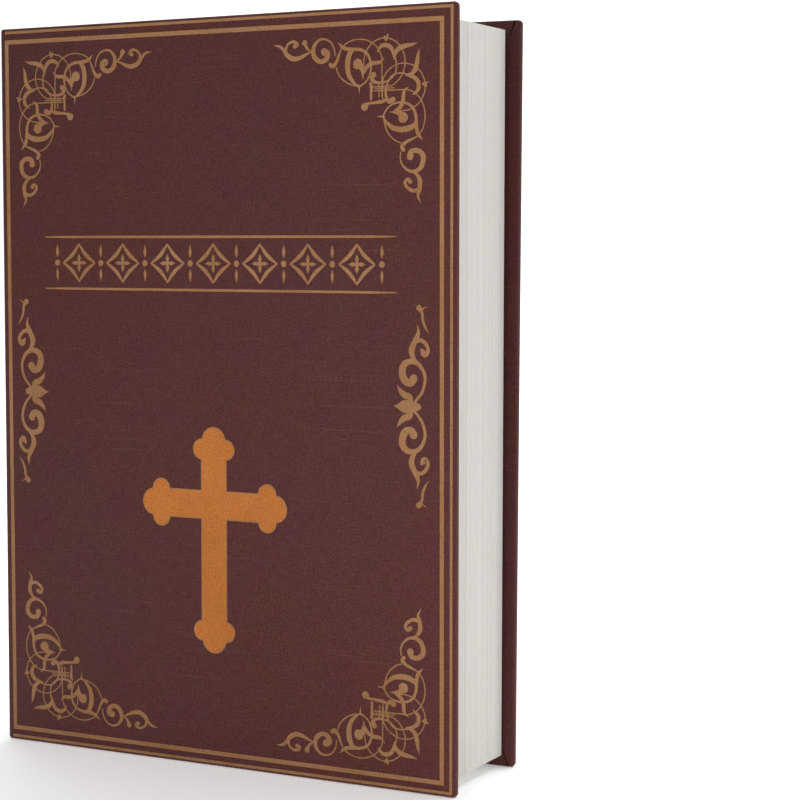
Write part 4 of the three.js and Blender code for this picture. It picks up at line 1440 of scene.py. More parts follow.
@dataclass
class CornerScroll:
    """Arabesque of a cover corner, drawn by distance from the corner along the head and down the side."""

    place: Flat
    corner: Corner
    squeeze: float = 1.0
    mirror_shift: float = 0.5
    end_share: float = 0.94
    side_share: float = 0.96
    side_shift: float = 0.35
    core: Sequence[Stroke] = field(default_factory=lambda: [
        arc((23.9, 7.7), (8.0, 7.0), 94, 10, 0.42, 10),
        arc((23.9, 7.7), (8.0, 7.0), -46, -178, 0.38) + [(15.9, 12.0, 0.38), (15.9, 18.2, 0.38)],
        arc((15.1, 8.1), (7.1, 7.4), 8, -250, 0.38, 24) + [(15.5, 15.2, 0.38), (18.7, 15.2, 0.38)],
        [(18.75, 11.6, 1.7), (19.3, 13.0, 1.3), (17.6, 14.0, 0.9), (14.5, 13.8, 0.55), (11.7, 12.0, 0.5),
         (10.9, 9.4, 0.45), (11.3, 6.8, 0.45)],
        [(15.2, 0.1, 0.3), (14.8, 0.6, 0.9), (14.5, 1.0, 1.25), (14.4, 1.5, 0.6)],
        [(13.8, -0.4, 0.2), (14.1, 0.2, 0.8), (14.5, 0.9, 1.0)],
        [(17.5, 4.9, 0.3), (16.6, 3.5, 1.0), (15.3, 2.85, 1.3), (13.7, 3.1, 1.35), (12.5, 4.15, 1.25),
         (11.9, 5.75, 0.9), (11.6, 7.4, 0.3)],
        [(11.7, 7.2, 0.4), (11.2, 5.3, 1.1), (10.1, 4.1, 1.5), (8.0, 3.4, 1.4), (5.7, 3.1, 0.9),
         (3.8, 2.5, 0.0)],
        [(31.2, 1.4, 0.0), (30.3, 2.2, 0.7), (29.2, 3.1, 1.1), (26.8, 3.65, 1.15), (23.5, 3.85, 0.95),
         (21.0, 5.2, 0.85), (19.8, 7.7, 0.75), (19.8, 10.5, 0.6), (21.0, 13.2, 0.5), (23.6, 15.05, 0.5)],
        [(25.7, 3.7, 1.0), (26.8, 4.6, 1.5), (27.5, 6.2, 1.75), (27.8, 8.5, 1.75), (27.4, 11.2, 1.5),
         (26.2, 13.1, 1.15), (24.7, 14.5, 0.7), (23.7, 15.1, 0.4)],
        [(29.9, 3.2, 0.3), (30.8, 5.2, 0.75), (31.7, 7.3, 1.0), (32.9, 8.5, 1.3), (33.9, 8.0, 1.2)],
        [(24.25, 8.1, 3.2), (24.2, 8.4, 3.1), (23.3, 8.9, 1.9), (22.6, 10.4, 1.2), (22.5, 12.9, 0.0)],
        [(22.3, 11.0, 0.8), (21.2, 9.3, 1.2), (19.5, 8.2, 1.25), (17.2, 8.0, 1.15), (16.0, 7.5, 0.8),
         (15.1, 6.2, 0.0)],
        [(23.75, 15.0, 0.75), (23.75, 17.3, 0.0)],
    ])
    middle: Sequence[Stroke] = field(default_factory=lambda: [
        [(19.65, 19.0, 0.7), (19.65, 17.0, 0.8), (19.5, 15.2, 1.1), (19.9, 14.2, 0.8)],
        [(21.9, 21.2, 2.4), (21.7, 21.0, 2.2), (20.7, 20.3, 0.9), (18.9, 20.05, 0.8), (16.1, 19.8, 1.2),
         (14.9, 19.4, 0.9)],
        [(17.0, 14.5, 0.35), (16.9, 18.4, 0.35)],
        [(18.4, 15.75, 0.35), (11.6, 15.75, 0.35)],
    ])
    head_end: Sequence[Stroke] = field(default_factory=lambda: [
        [(32.2, 5.6, 0.4), (32.5, 3.45, 0.5), (33.8, 1.2, 0.55), (36.1, 0.15, 0.7), (38.3, 0.75, 0.9),
         (39.8, 3.0, 1.4), (39.5, 5.7, 1.7), (37.5, 7.4, 1.5), (35.3, 6.7, 1.7), (34.9, 5.0, 2.2),
         (36.0, 4.3, 2.4)],
        [(40.6, 4.1, 0.3), (42.5, 4.9, 0.9), (44.5, 5.8, 1.3), (46.8, 6.1, 1.6), (49.0, 5.0, 1.6),
         (50.5, 3.0, 1.1), (52.0, 1.8, 0.9), (54.3, 1.45, 0.0)],
        [(40.6, 4.1, 0.3), (41.8, 3.2, 0.9), (42.6, 1.9, 1.1), (42.9, 1.1, 1.9)],
        [(49.4, 4.4, 0.8), (49.6, 2.5, 0.9), (48.5, 0.95, 0.8), (46.8, 0.55, 1.0), (45.5, 1.5, 1.1),
         (46.5, 2.1, 1.4)],
    ])
    side_end: Sequence[Stroke] = field(default_factory=lambda: [
        [(9.8, 35.4, 0.4), (10.0, 37.2, 0.5), (9.3, 39.2, 0.65), (7.5, 40.8, 0.85), (5.2, 41.3, 1.1),
         (3.0, 40.4, 1.5), (1.95, 38.4, 1.7), (2.1, 36.4, 1.8), (3.8, 35.1, 1.6), (6.0, 35.3, 1.7),
         (6.5, 36.8, 2.4)],
        [(5.4, 41.3, 0.9), (4.0, 42.4, 1.1), (3.0, 44.2, 1.6), (3.2, 46.7, 1.4), (3.75, 48.7, 0.9),
         (2.5, 50.95, 0.0)],
        [(3.2, 46.4, 1.0), (5.2, 47.1, 1.2), (7.2, 46.3, 1.1), (8.3, 44.8, 1.1), (7.5, 43.6, 1.1),
         (6.5, 44.3, 1.5)],
    ])

    def placed(self, points: Stroke, swapped: bool = False) -> list[tuple[float, float, float]]:
        """Returns a stroke on the cover.

        Args:
            points: Distance along the head, distance down the side, and width.
            swapped: Whether head and side change places.

        Returns:
            X, Z and width of each point.
        """
        side_x, side_z = self.corner.value
        found = []
        for along, down, width in points:
            if swapped:
                along, down = down + self.mirror_shift, along + self.mirror_shift
            x, z = self.place[0] - side_x * along, self.place[1] - side_z * down * self.squeeze
            found.append((x, z, width))
        return found

    def draw(self, pen: GiltPen) -> None:
        """Draws the whole corner.

        Args:
            pen: The foil pen.
        """
        for points in self.core:
            pen.stroke(self.placed(points))
            pen.stroke(self.placed(points, swapped=True))
        ends = [[(along, down * self.end_share, width * self.end_share) for along, down, width in points]
                for points in self.head_end]
        ends += [[(along * self.side_share, down - self.side_shift, width * self.end_share)
                  for along, down, width in points] for points in self.side_end]
        for points in (*self.middle, *ends):
            pen.stroke(self.placed(points))


@dataclass
class SideScroll:
    """Scroll halfway up one edge of the cover, with a pointed bud towards the middle."""

    outer_x: float
    inward: float
    middle_z: float = 119.35
    bud: Stroke = ((4.0, 0.0, 2.2), (6.1, 0.0, 4.0), (8.9, 0.0, 3.8), (10.9, 0.0, 1.3), (12.4, 0.0, 0.0))
    half: Sequence[Stroke] = field(default_factory=lambda: [
        [(6.4, 2.6, 1.6), (7.1, 3.1, 2.0), (8.5, 3.5, 2.0), (9.9, 4.7, 1.4), (11.1, 6.5, 0.0)],
        [(4.9, 1.6, 0.8), (2.6, 4.4, 0.9), (1.5, 8.1, 1.0), (2.1, 10.9, 1.1), (3.9, 13.1, 1.4),
         (6.4, 13.8, 1.7), (8.7, 12.7, 2.1), (9.3, 10.4, 2.4), (8.4, 7.9, 2.4), (6.4, 7.2, 2.2),
         (5.4, 8.6, 2.6)],
        [(3.6, 12.6, 0.8), (5.5, 14.9, 1.4), (6.1, 17.1, 2.0), (5.3, 19.3, 1.8), (4.2, 21.4, 1.5),
         (3.8, 22.9, 1.0), (4.3, 25.0, 0.0)],
        [(4.9, 19.7, 1.2), (3.1, 20.3, 1.2), (1.4, 19.3, 1.2), (0.5, 17.4, 1.2), (1.2, 16.0, 1.5),
         (2.0, 16.4, 2.1), (2.9, 17.6, 0.5)],
        [(3.6, 30.0, 1.9), (3.3, 29.7, 1.5), (2.5, 28.4, 0.9), (2.3, 26.4, 0.9), (1.4, 24.1, 0.7),
         (0.0, 22.1, 0.0)],
        [(3.0, 29.3, 0.8), (0.8, 30.7, 0.0)],
    ])

    def draw(self, pen: GiltPen) -> None:
        """Draws the bud and the scrolls above and below it.

        Args:
            pen: The foil pen.
        """
        pen.stroke([(self.outer_x + self.inward * s, self.middle_z + t, w) for s, t, w in self.bud])
        for points in self.half:
            for up in (1.0, -1.0):
                pen.stroke([(self.outer_x + self.inward * s, self.middle_z + up * t, w)
                            for s, t, w in points])


@dataclass
class NameBand:
    """Plain traditional row of lozenges and leaves between two lines, across the upper cover."""

    x_range: Flat = (-62.4, 59.3)
    z_range: Flat = (153.9, 170.9)
    lozenges: int = 7
    lozenge_share: float = 0.36
    hollow: float = 0.14

    def draw(self, pen: GiltPen) -> None:
        """Draws the band.

        Args:
            pen: The foil pen.
        """
        (x0, x1), (z0, z1) = self.x_range, self.z_range
        middle = (z0 + z1) / 2
        for z in (z0, z1):
            pen.stroke([(x0, z, 0.0), (x0 + 4, z, 0.75), (x1 - 4, z, 0.75), (x1, z, 0.0)], 2)
        pitch = (x1 - x0) / self.lozenges
        reach, rise = pitch * self.lozenge_share, (z1 - z0) * self.lozenge_share
        hollow, kept = self.hollow, 1 - self.hollow
        for index in range(self.lozenges):
            x = x0 + pitch * (index + 0.5)
            tips = [(x - reach, middle), (x, middle + rise), (x + reach, middle), (x, middle - rise)]
            for first, second in zip(tips, tips[1:] + tips[:1]):
                bend = ((first[0] + second[0]) / 2 * kept + x * hollow,
                        (first[1] + second[1]) / 2 * kept + middle * hollow)
                pen.stroke([(*first, 0.5), (*bend, 1.3), (*second, 0.5)])
            for dx, dz in ((1, 0), (-1, 0), (0, 1), (0, -1)):
                pen.stroke([(x + dx * 0.5, middle + dz * 0.5, 0.5), (x + dx * 1.5, middle + dz * 1.5, 1.3),
                            (x + dx * 3.0, middle + dz * 3.0, 0.0)])
            pen.dot((x, middle), 0.75)
        for index in range(self.lozenges + 1):
            x = x0 + pitch * index
            pen.dot((x, middle), 1.0)
            for dz in (1, -1):
                pen.stroke([(x, middle + dz * 1.8, 0.0), (x, middle + dz * 3.6, 1.1),
                            (x, middle + dz * 6.0, 0.0)])


@dataclass
class Gilding:
    """All the foil on the front cover."""

    materials: dict[str, bpy.types.Material]
    face_y: float = -22.4
    sink: float = 0.03
    cross_rise: float = 0.08
    rim_rise: float = 0.05
    rule_rise: float = 0.09
    disc_sides: int = 44
    cross_x: float = -1.75
    cross_top: float = 110.2
    cross_foot: float = 36.85
    cross_half: float = 4.85
    bar_z: float = 85.05
    bar_half: float = 4.7
    arm_left: float = -29.05
    arm_right: float = 25.45
    lobe: float = 4.5
    side_lobe: float = 3.4
    side_out: float = 4.45
    side_back: float = 2.75
    rim: float = 0.36
    thick: float = 1.4
    thin: float = 0.9
    thick_edge: Sequence[Flat] = ((-83.0, 236.2), (80.35, 235.85), (80.65, 3.6), (-82.7, 3.6))
    thin_edge: Sequence[Flat] = ((-82.9, 239.1), (83.45, 239.1), (83.45, 0.9), (-82.9, 0.9))
    corners: Sequence[CornerScroll] = field(default_factory=lambda: [
        CornerScroll((-78.6, 231.5), Corner.HEAD_SPINE),
        CornerScroll((75.2, 231.4), Corner.HEAD_FORE),
        CornerScroll((-78.1, 8.9), Corner.TAIL_SPINE, 0.98),
        CornerScroll((75.4, 8.2), Corner.TAIL_FORE, 0.98),
    ])
    sides: Sequence[SideScroll] = field(default_factory=lambda: [
        SideScroll(-79.0, 1.0), SideScroll(75.6, -1.0),
    ])

    def column(self, outline: Sequence[Flat], rise: float) -> bpy.types.Object:
        """Builds a thin solid of foil over an outline, for joining.

        Args:
            outline: Its corners in X and Z.
            rise: Height of its face over the cloth.

        Returns:
            The solid.
        """
        pen = MeshPen()
        top = pen.loop((x, self.face_y - rise, z) for x, z in outline)
        foot = pen.loop((x, self.face_y + self.sink, z) for x, z in outline)
        pen.tube([top, foot], capped=True)
        return pen.piece("foil_part")

    def disc(self, x: float, z: float, radius: float, rise: float) -> bpy.types.Object:
        """Builds a thin round of foil, for joining.

        Args:
            x: Its middle across.
            z: Its middle up.
            radius: Its radius.
            rise: Height of its face over the cloth.

        Returns:
            The solid.
        """
        turns = [2 * math.pi * (step + 0.37) / self.disc_sides for step in range(self.disc_sides)]
        rim = [(x + radius * math.cos(turn), z + radius * math.sin(turn)) for turn in turns]
        return self.column(rim, rise)

    def cross(self, name: str, trim: float, rise: float) -> bpy.types.Object:
        """Builds the budded cross as one foil.

        Args:
            name: Name of the piece.
            trim: Distance that its outline stays inside the cross's own.
            rise: Height of its face over the cloth.

        Returns:
            The new piece.
        """
        x, lobe = self.cross_x, self.lobe
        foot, top = self.cross_foot + lobe, self.cross_top - lobe
        left, right = self.arm_left + lobe, self.arm_right - lobe
        shaft, bar = self.cross_half - trim, self.bar_half - trim
        low, high = self.bar_z - bar, self.bar_z + bar
        parts = [
            self.column([(x - shaft, foot), (x + shaft, foot), (x + shaft, top), (x - shaft, top)], rise),
            self.column([(left, low), (right, low), (right, high), (left, high)], rise),
        ]
        buds = [(x, top, lobe), (x, foot, lobe), (left, self.bar_z, lobe), (right, self.bar_z, lobe)]
        for side in (self.side_out, -self.side_out):
            buds.extend([(x + side, top - self.side_back, self.side_lobe),
                         (x + side, foot + self.side_back, self.side_lobe),
                         (left + self.side_back, self.bar_z + side, self.side_lobe),
                         (right - self.side_back, self.bar_z + side, self.side_lobe)])
        parts.extend(self.disc(across, up, radius - trim, rise) for across, up, radius in buds)
        return united(name, parts)

    def rule(self, name: str, outside: Sequence[Flat], inside: Sequence[Flat],
             closed: bool) -> bpy.types.Object:
        """Builds a straight-sided line of foil with mitred corners.

        Args:
            name: Name of the piece.
            outside: Corners of its outer edge in X and Z.
            inside: Corners of its inner edge, in the same order.
            closed: Whether it runs all the way round.

        Returns:
            The new piece.
        """
        pen = MeshPen()
        pen.ribbon(outside, inside, self.face_y - self.rule_rise, self.face_y + self.sink, closed)
        return pen.piece(name, 20.0, even=False)

    def rules(self) -> list[tuple[bpy.types.Object, str]]:
        """Builds the thick and the thin rule.

        Returns:
            Each rule with the name of the node that it stands for.
        """
        made = []
        for node, width, closed, edge in (("gilt_thick_rule", self.thick, True, self.thick_edge),
                                          ("gilt_thin_rule", self.thin, False, self.thin_edge)):
            step = width if closed else 0.0
            (x0, z0), (x1, z1), (x2, z2), (x3, z3) = edge
            inside = [(x0 + step, z0 - width), (x1 - width, z1 - width), (x2 - width, z2 + width),
                      (x3 + step, z3 + width)]
            made.append((self.rule(node.replace("gilt", "foil"), edge, inside, closed), node))
        return made

    def build(self) -> None:
        """Builds and dresses all the foil, bent with the cover."""
        gilt, flare = self.materials["gilt"], FLARES[Face.FRONT]
        level = replace(flare, lift=0.0)
        cross = level.apply(self.cross("gilt_budded_cross", self.rim, self.cross_rise))
        settle(dress(cross, self.materials["cross"], "gilding"), "front_cover", "gilt_cross")
        rim = level.apply(self.cross("gilt_cross_rim", 0.0, self.rim_rise))
        settle(dress(rim, gilt, "gilding"), "front_cover")
        drawn = [(f"gilt_{scroll.corner.name.lower()}_scroll", scroll) for scroll in self.corners]
        drawn += list(zip(("gilt_spine_side_scroll", "gilt_fore_side_scroll"), self.sides))
        drawn.append(("gilt_band", NameBand()))
        for name, ornament in drawn:
            pen = GiltPen(self.face_y, self.sink)
            ornament.draw(pen)
            piece = level.apply(pen.pen.piece(name, 20.0, even=False), name == "gilt_band")
            settle(dress(piece, gilt, "gilding"), "front_cover")
        for piece, node in self.rules():
            settle(dress(flare.apply(piece), gilt, "gilding"), "front_cover", node)


# Pages


@dataclass
class PageBlock:
    """Five sections of leaves with the window cut through them."""

    materials: dict[str, bpy.types.Material]
    outer_x: Flat = (-81.0, 81.0)
    outer_z: Flat = (3.9, 236.1)
    window_x: Flat = (-55.0, 65.0)
    window_z: Flat = (18.9, 221.1)
    leaf: float = 0.19
    drift_kept: float = 0.8
    drift_spread: float = 0.012
    edge_spread: float = 0.016
    edge_limit: float = 0.11
    cut_limit: float = 0.06
    sections: Sequence[tuple[str, str, float, float]] = (
        ("upper_pages_1", "upper_leaves_1", -19.2, -14.06),
        ("upper_pages_2", "upper_leaves_2", -14.0, -8.86),
        ("upper_pages_3", "upper_leaves_3", -8.8, -3.66),
        ("lower_pages_1", "book_base", -3.6, 7.66),
        ("lower_pages_2", "book_base", 7.7, 19.0),
    )

    @staticmethod
    def oblong(across: Flat, up: Flat, y: float) -> list[Point]:
        """Finds the corners of one side of a leaf, or of its window.

        Args:
            across: Its two ends in X.
            up: Its two ends in Z.
            y: Its place in the block.

        Returns:
            The four corners in order.
        """
        (x0, x1), (z0, z1) = across, up
        return [(x0, y, z0), (x1, y, z0), (x1, y, z1), (x0, y, z1)]

    def section(self, node: str, y0: float, y1: float, dice: random.Random) -> bpy.types.Object:
        """Builds one section as a stack of leaves whose edges don't quite line up.

        Args:
            node: The node that it stands for.
            y0: Y of its first leaf.
            y1: Y of its last leaf.
            dice: The seeded source of the unevenness.

        Returns:
            The new piece.
        """
        count = max(4, round((y1 - y0) / self.leaf))
        pen = MeshPen()
        outer, inner = [], []
        drift = [0.0, 0.0, 0.0]
        for index in range(count):
            drift = [self.drift_kept * value + dice.gauss(0, self.drift_spread) for value in drift]
            fore, head, tail = (min(self.edge_limit, abs(value) + abs(dice.gauss(0, self.edge_spread)))
                                for value in drift)
            cut = dice.uniform(0.0, self.cut_limit)
            outer_x = (self.outer_x[0], self.outer_x[1] - fore)
            outer_z = (self.outer_z[0] + tail, self.outer_z[1] - head)
            window_x = (self.window_x[0] - cut, self.window_x[1] + cut)
            window_z = (self.window_z[0] - cut, self.window_z[1] + cut)
            for y in (y0 + (y1 - y0) * index / count, y0 + (y1 - y0) * (index + 1) / count):
                outer.append(pen.loop(self.oblong(outer_x, outer_z, y)))
                inner.append(pen.loop(self.oblong(window_x, window_z, y)))
        pen.tube(outer)
        pen.tube(inner)
        pen.bridge(outer[0], inner[0])
        pen.bridge(outer[-1], inner[-1])
        piece = pen.piece(node.replace("pages", "leaf_stack"), 10.0, even=False)
        piece.data.shade_flat()
        return piece

    def build(self) -> None:
        """Builds and dresses the five sections."""
        dice = random.Random(SEED)
        for node, body, y0, y1 in self.sections:
            piece = dress(self.section(node, y0, y1, dice), self.materials["edges"], "page_paper")
            settle(piece, body, node)


# Steel box


@dataclass
class SteelBox:
    """Tray, lid, hinge and keeper."""

    materials: dict[str, bpy.types.Material]
    hinge_axis: Flat = (-50.0, -13.5)
    pin_radius: float = 1.2
    pin_ends: Flat = (27.8, 212.2)
    rivet_rise: float = 0.8

    def pin(self) -> bpy.types.Object:
        """Builds the hinge pin with domed ends.

        Returns:
            The new piece.
        """
        z0, z1 = self.pin_ends
        radius = self.pin_radius
        profile = [(0.35, z0 - 0.25), (0.85, z0 - 0.1), (radius, z0 + 0.3), (radius, z1 - 0.3),
                   (0.85, z1 + 0.1), (0.35, z1 + 0.25)]
        return turned("hinge_pin_rod", profile, self.hinge_axis, Axis.Z, 24)

    def rivet(self, node: str, axis: Axis) -> bpy.types.Object:
        """Builds a domed rivet in place of its node.

        Args:
            node: The node.
            axis: Direction of its shank.

        Returns:
            The new piece.
        """
        low, high = (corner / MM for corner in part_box(node))
        middle = (low + high) / 2
        along = axis.value
        others = [index for index in range(3) if index != along]
        radius = (high[others[0]] - low[others[0]]) / 2
        shank, head = low[along], high[along]
        if node.startswith("keeper"):
            shank, head = head, low[along]
        rise = self.rivet_rise if head > shank else -self.rivet_rise
        profile = [(radius * 0.55, shank), (radius * 0.56, head - rise), (radius, head - rise)]
        for step in range(1, 7):
            angle = step * math.pi / 14
            profile.append((radius * math.cos(angle), head - rise * (1 - math.sin(angle))))
        profile.append((0.15, head))
        centre = (middle[others[0]], middle[others[1]])
        return turned(node.replace("rivet", "domed_rivet"), profile, centre, axis, 28)

    def build(self) -> None:
        """Builds and dresses the box and its small parts."""
        steel = self.materials["steel"]
        tray = refined("steel_tray", "tray_pressing", 0.42, 3)
        settle(dress(tray, self.materials["inside"], "painted_steel"), "book_base", "steel_tray")
        lid = refined("lid_panel", "lid_pressing", 0.45, 3)
        settle(dress(lid, self.materials["panel"], "painted_steel"), "lid", "lid_panel")
        dress(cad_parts["adhesive_pad"], self.materials["foam"], "adhesive_foam")
        fixed = refined("hinge_fixed_leaf", "hinge_leaf_fixed", 0.2)
        settle(dress(fixed, steel, "plated_steel"), "book_base", "hinge_fixed_leaf")
        moving = refined("hinge_moving_leaf", "hinge_leaf_moving", 0.2)
        settle(dress(moving, steel, "plated_steel"), "lid", "hinge_moving_leaf")
        settle(dress(self.pin(), steel, "plated_steel"), "book_base", "hinge_pin")
        keeper = refined("keeper", "keeper_bracket", 0.28)
        settle(dress(keeper, steel, "plated_steel"), "book_base", "keeper")
        for number in (1, 2, 3):
            node = f"fixed_leaf_rivet_{number}"
            settle(dress(self.rivet(node, Axis.X), steel, "plated_steel"), "book_base", node)
            node = f"moving_leaf_rivet_{number}"
            settle(dress(self.rivet(node, Axis.Y), steel, "plated_steel"), "lid", node)
        for number in (1, 2):
            node = f"keeper_rivet_{number}"
            settle(dress(self.rivet(node, Axis.X), steel, "plated_steel"), "book_base", node)


# Dial lock


@dataclass
class DialLock:
    """Plate, three numbered dials, knob and the works under the lid."""

    materials: dict[str, bpy.types.Material]
    lock_x: float = 24.0
    knob_z: float = 195.1
    plate_y: float = -7.7
    knob_top: float = -18.7
    knob_flutes: int = 54
    flute_depth: float = 0.16
    notch_depth: float = 0.5
    notch_share: float = 0.2
    line_x: Flat = (13.1, 34.9)
    line_z: Flat = (134.2, 208.0)
    line_radius: float = 1.1
    dial_axis_y: float = 0.1
    dial_radius: float = 9.0
    dial_width: float = 5.6
    dial_places: tuple[float, ...] = (153.9, 163.5, 173.1)
    dial_faces: int = 10
    digit_height: float = 3.7

    def knob(self) -> bpy.types.Object:
        """Builds the knob: fluted head with a ringed dish, waist and flared foot.

        Returns:
            The new piece.
        """
        top, foot = self.knob_top, self.plate_y - 0.3
        dish = ((0.3, 0.85), (2.0, 0.82), (4.6, 0.8), (4.9, 0.62), (5.2, 0.62), (5.5, 0.8), (6.7, 0.72),
                (7.3, 0.3), (7.7, 0.06))
        head = ((8.2, 0.0), (9.2, 0.05), (9.9, 0.3), (10.3, 0.75), (10.5, 1.2), (10.5, 2.2), (10.5, 3.2),
                (10.35, 3.7), (9.9, 4.1), (9.2, 4.35))
        waist = ((7.8, 4.6), (7.0, 5.1), (6.75, 5.8), (6.8, 6.6), (7.1, 7.5), (7.7, 8.3), (8.4, 8.9),
                 (8.8, 9.5))
        profile = [(radius, top + below) for radius, below in (*dish, *head, *waist)]
        profile += [(8.8, foot - 0.35), (8.6, foot), (3.4, foot)]

        def flutes(radius: float, along: float, angle: float) -> float:
            """Finds the depth of the flutes on the head's rim.

            Args:
                radius: Radius of the profile's point.
                along: Its place along the axis.
                angle: Angle round the axis.

            Returns:
                The change of radius.
            """
            if radius < 9.85 or along > top + 4.15:
                return 0.0
            return self.flute_depth * math.cos(self.knob_flutes * angle) - self.flute_depth

        return turned("dial_lock_knob", profile, (self.lock_x, self.knob_z), Axis.Y,
                      self.knob_flutes * 4, flutes)

    def dial(self, number: int, z: float) -> bpy.types.Object:
        """Builds one dial: ten flats with finger notches between them and rounded rims.

        Args:
            number: Number of the dial.
            z: Its place along the axle.

        Returns:
            The new piece.
        """
        half = self.dial_width / 2
        turn = 2 * math.pi / self.dial_faces

        def notches(radius: float, angle: float) -> float:
            """Finds the depth of the notches and flats.

            Args:
                radius: Radius of the profile's point.
                angle: Angle round the axis.

            Returns:
                The change of radius.
            """
            if radius < self.dial_radius - 0.7:
                return 0.0
            share = (angle / turn + 0.5) % 1.0
            away = min(share, 1 - share) / self.notch_share
            depth = self.notch_depth * math.cos(min(away, 1.0) * math.pi / 2) ** 2
            flat = self.dial_radius * (1 - math.cos((share - 0.5) * turn)) * 0.5
            return -depth - flat * 0.4

        profile = [(4.3, z - half), (8.3, z - half), (8.75, z - half + 0.12), (9.0, z - half + 0.45),
                   (9.0, z + half - 0.45), (8.75, z + half - 0.12), (8.3, z + half), (4.3, z + half)]
        pen = MeshPen()
        rings = []
        sides = self.dial_faces * 16
        for radius, along in profile:
            ring = []
            for step in range(sides):
                angle = 2 * math.pi * step / sides
                reach = radius + notches(radius, angle)
                ring.append((self.lock_x + reach * math.cos(angle),
                             self.dial_axis_y + reach * math.sin(angle), along))
            rings.append(pen.loop(ring))
        pen.tube([*rings, rings[0]])
        return pen.piece(f"number_dial_{number}", 35.0)

    def digits(self, number: int, z: float) -> bpy.types.Object:
        """Builds the ten digits painted on a dial.

        Args:
            number: Number of the dial.
            z: Its place along the axle.

        Returns:
            The new piece, all ten digits in one.
        """
        found = bmesh.new()
        for digit in range(self.dial_faces):
            curve = bpy.data.curves.new("digit", "FONT")
            curve.body = str(digit)
            curve.size = self.digit_height * MM * 1.38
            curve.extrude = 0.05 * MM
            curve.align_x = "CENTER"
            curve.align_y = "CENTER"
            curve.resolution_u = 4
            holder = bpy.data.objects.new("digit", curve)
            bpy.context.scene.collection.objects.link(holder)
            bpy.context.view_layer.update()
            graph = bpy.context.evaluated_depsgraph_get()
            mesh = bpy.data.meshes.new_from_object(holder.evaluated_get(graph))
            angle = 2 * math.pi * (digit + number * 3) / self.dial_faces
            out = Vector((math.cos(angle), math.sin(angle), 0.0))
            up = Vector((math.sin(angle), -math.cos(angle), 0.0))
            right = Vector((0.0, 0.0, 1.0))
            centre = Vector((self.lock_x, self.dial_axis_y, z))
            place = centre * MM + out * (self.dial_radius - 0.02) * MM
            turn = Matrix((right, up, out)).transposed().to_4x4()
            mesh.transform(Matrix.Translation(place) @ turn)
            found.from_mesh(mesh)
            bpy.data.objects.remove(holder)
            bpy.data.curves.remove(curve)
            bpy.data.meshes.remove(mesh)
        mesh = bpy.data.meshes.new(f"dial_digits_{number}")
        found.to_mesh(mesh)
        found.free()
        piece = bpy.data.objects.new(f"dial_digits_{number}", mesh)
        bpy.context.scene.collection.objects.link(piece)
        return piece

    def outline(self) -> bpy.types.Object:
        """Builds the raised gold line round the plate, with rounded corners.

        Returns:
            The new piece.
        """
        pen = MeshPen()
        rings = []
        (x0, x1), (z0, z1) = self.line_x, self.line_z
        for inset, rise in ((0.0, -0.02), (0.06, 0.12), (0.2, 0.15), (0.5, 0.15), (0.64, 0.12),
                            (0.7, -0.02)):
            radius = max(0.2, self.line_radius - inset)
            left, right = x0 + inset + radius, x1 - inset - radius
            low, high = z0 + inset + radius, z1 - inset - radius
            ring = []
            for cx, cz, start in ((right, low, -90), (right, high, 0), (left, high, 90), (left, low, 180)):
                for step in range(6):
                    angle = math.radians(start + 18 * step)
                    ring.append((cx + radius * math.cos(angle), self.plate_y - rise,
                                 cz + radius * math.sin(angle)))
            rings.append(pen.loop(ring))
        pen.tube(rings)
        return pen.piece("plate_gold_line", 30.0)

    def build(self) -> None:
        """Builds and dresses the lock."""
        made = self.materials
        plate = refined("lock_plate", "lock_face_plate", 0.3, 3)
        settle(dress(plate, made["enamel"], "black_plate"), "lid", "lock_plate")
        settle(dress(self.outline(), made["brass"], "gold_trim"), "lid", "lock_plate_trim")
        settle(dress(self.knob(), made["knob"], "black_plastic"), "knob", "knob")
        for number, z in enumerate(self.dial_places, start=1):
            body = f"dial_{number}"
            settle(dress(self.dial(number, z), made["plastic"], "black_plastic"), body, body)
            settle(dress(self.digits(number, z), made["digit"], "black_plastic"), body)
            sleeve = refined(f"dial_sleeve_{number}", f"gate_sleeve_{number}", 0.12)
            settle(dress(sleeve, made["steel"], "plated_steel"), body, f"dial_sleeve_{number}")
        for node, name, body, width, finish, slot in (
                ("lock_housing", "lock_case", "lid", 0.3, "plastic", "black_plastic"),
                ("housing_cover", "lock_case_cover", "lid", 0.2, "steel", "plated_steel"),
                ("fence_bar", "fence_slider", "fence", 0.12, "steel", "plated_steel"),
                ("latch_cam", "latch_arm", "knob", 0.25, "steel", "plated_steel"),
                ("cam_nut", "latch_nut", "knob", 0.25, "steel", "plated_steel"),
                ("spindle", "knob_spindle", "knob", 0.2, "steel", "plated_steel"),
                ("reset_lever", "reset_slider", "reset_lever", 0.2, "plastic", "black_plastic"),
                ("detent_spring", "detent_strip", "lid", 0.05, "steel", "plated_steel"),
                ("dial_axle", "dial_rod", "lid", 0.2, "steel", "plated_steel")):
            settle(dress(refined(node, name, width), made[finish], slot), body, node)
        for number in (1, 2, 3, 4):
            node = f"housing_screw_{number}"
            screw = refined(node, f"case_screw_{number}", 0.14)
            settle(dress(screw, made["steel"], "plated_steel"), "lid", node)


# Studio


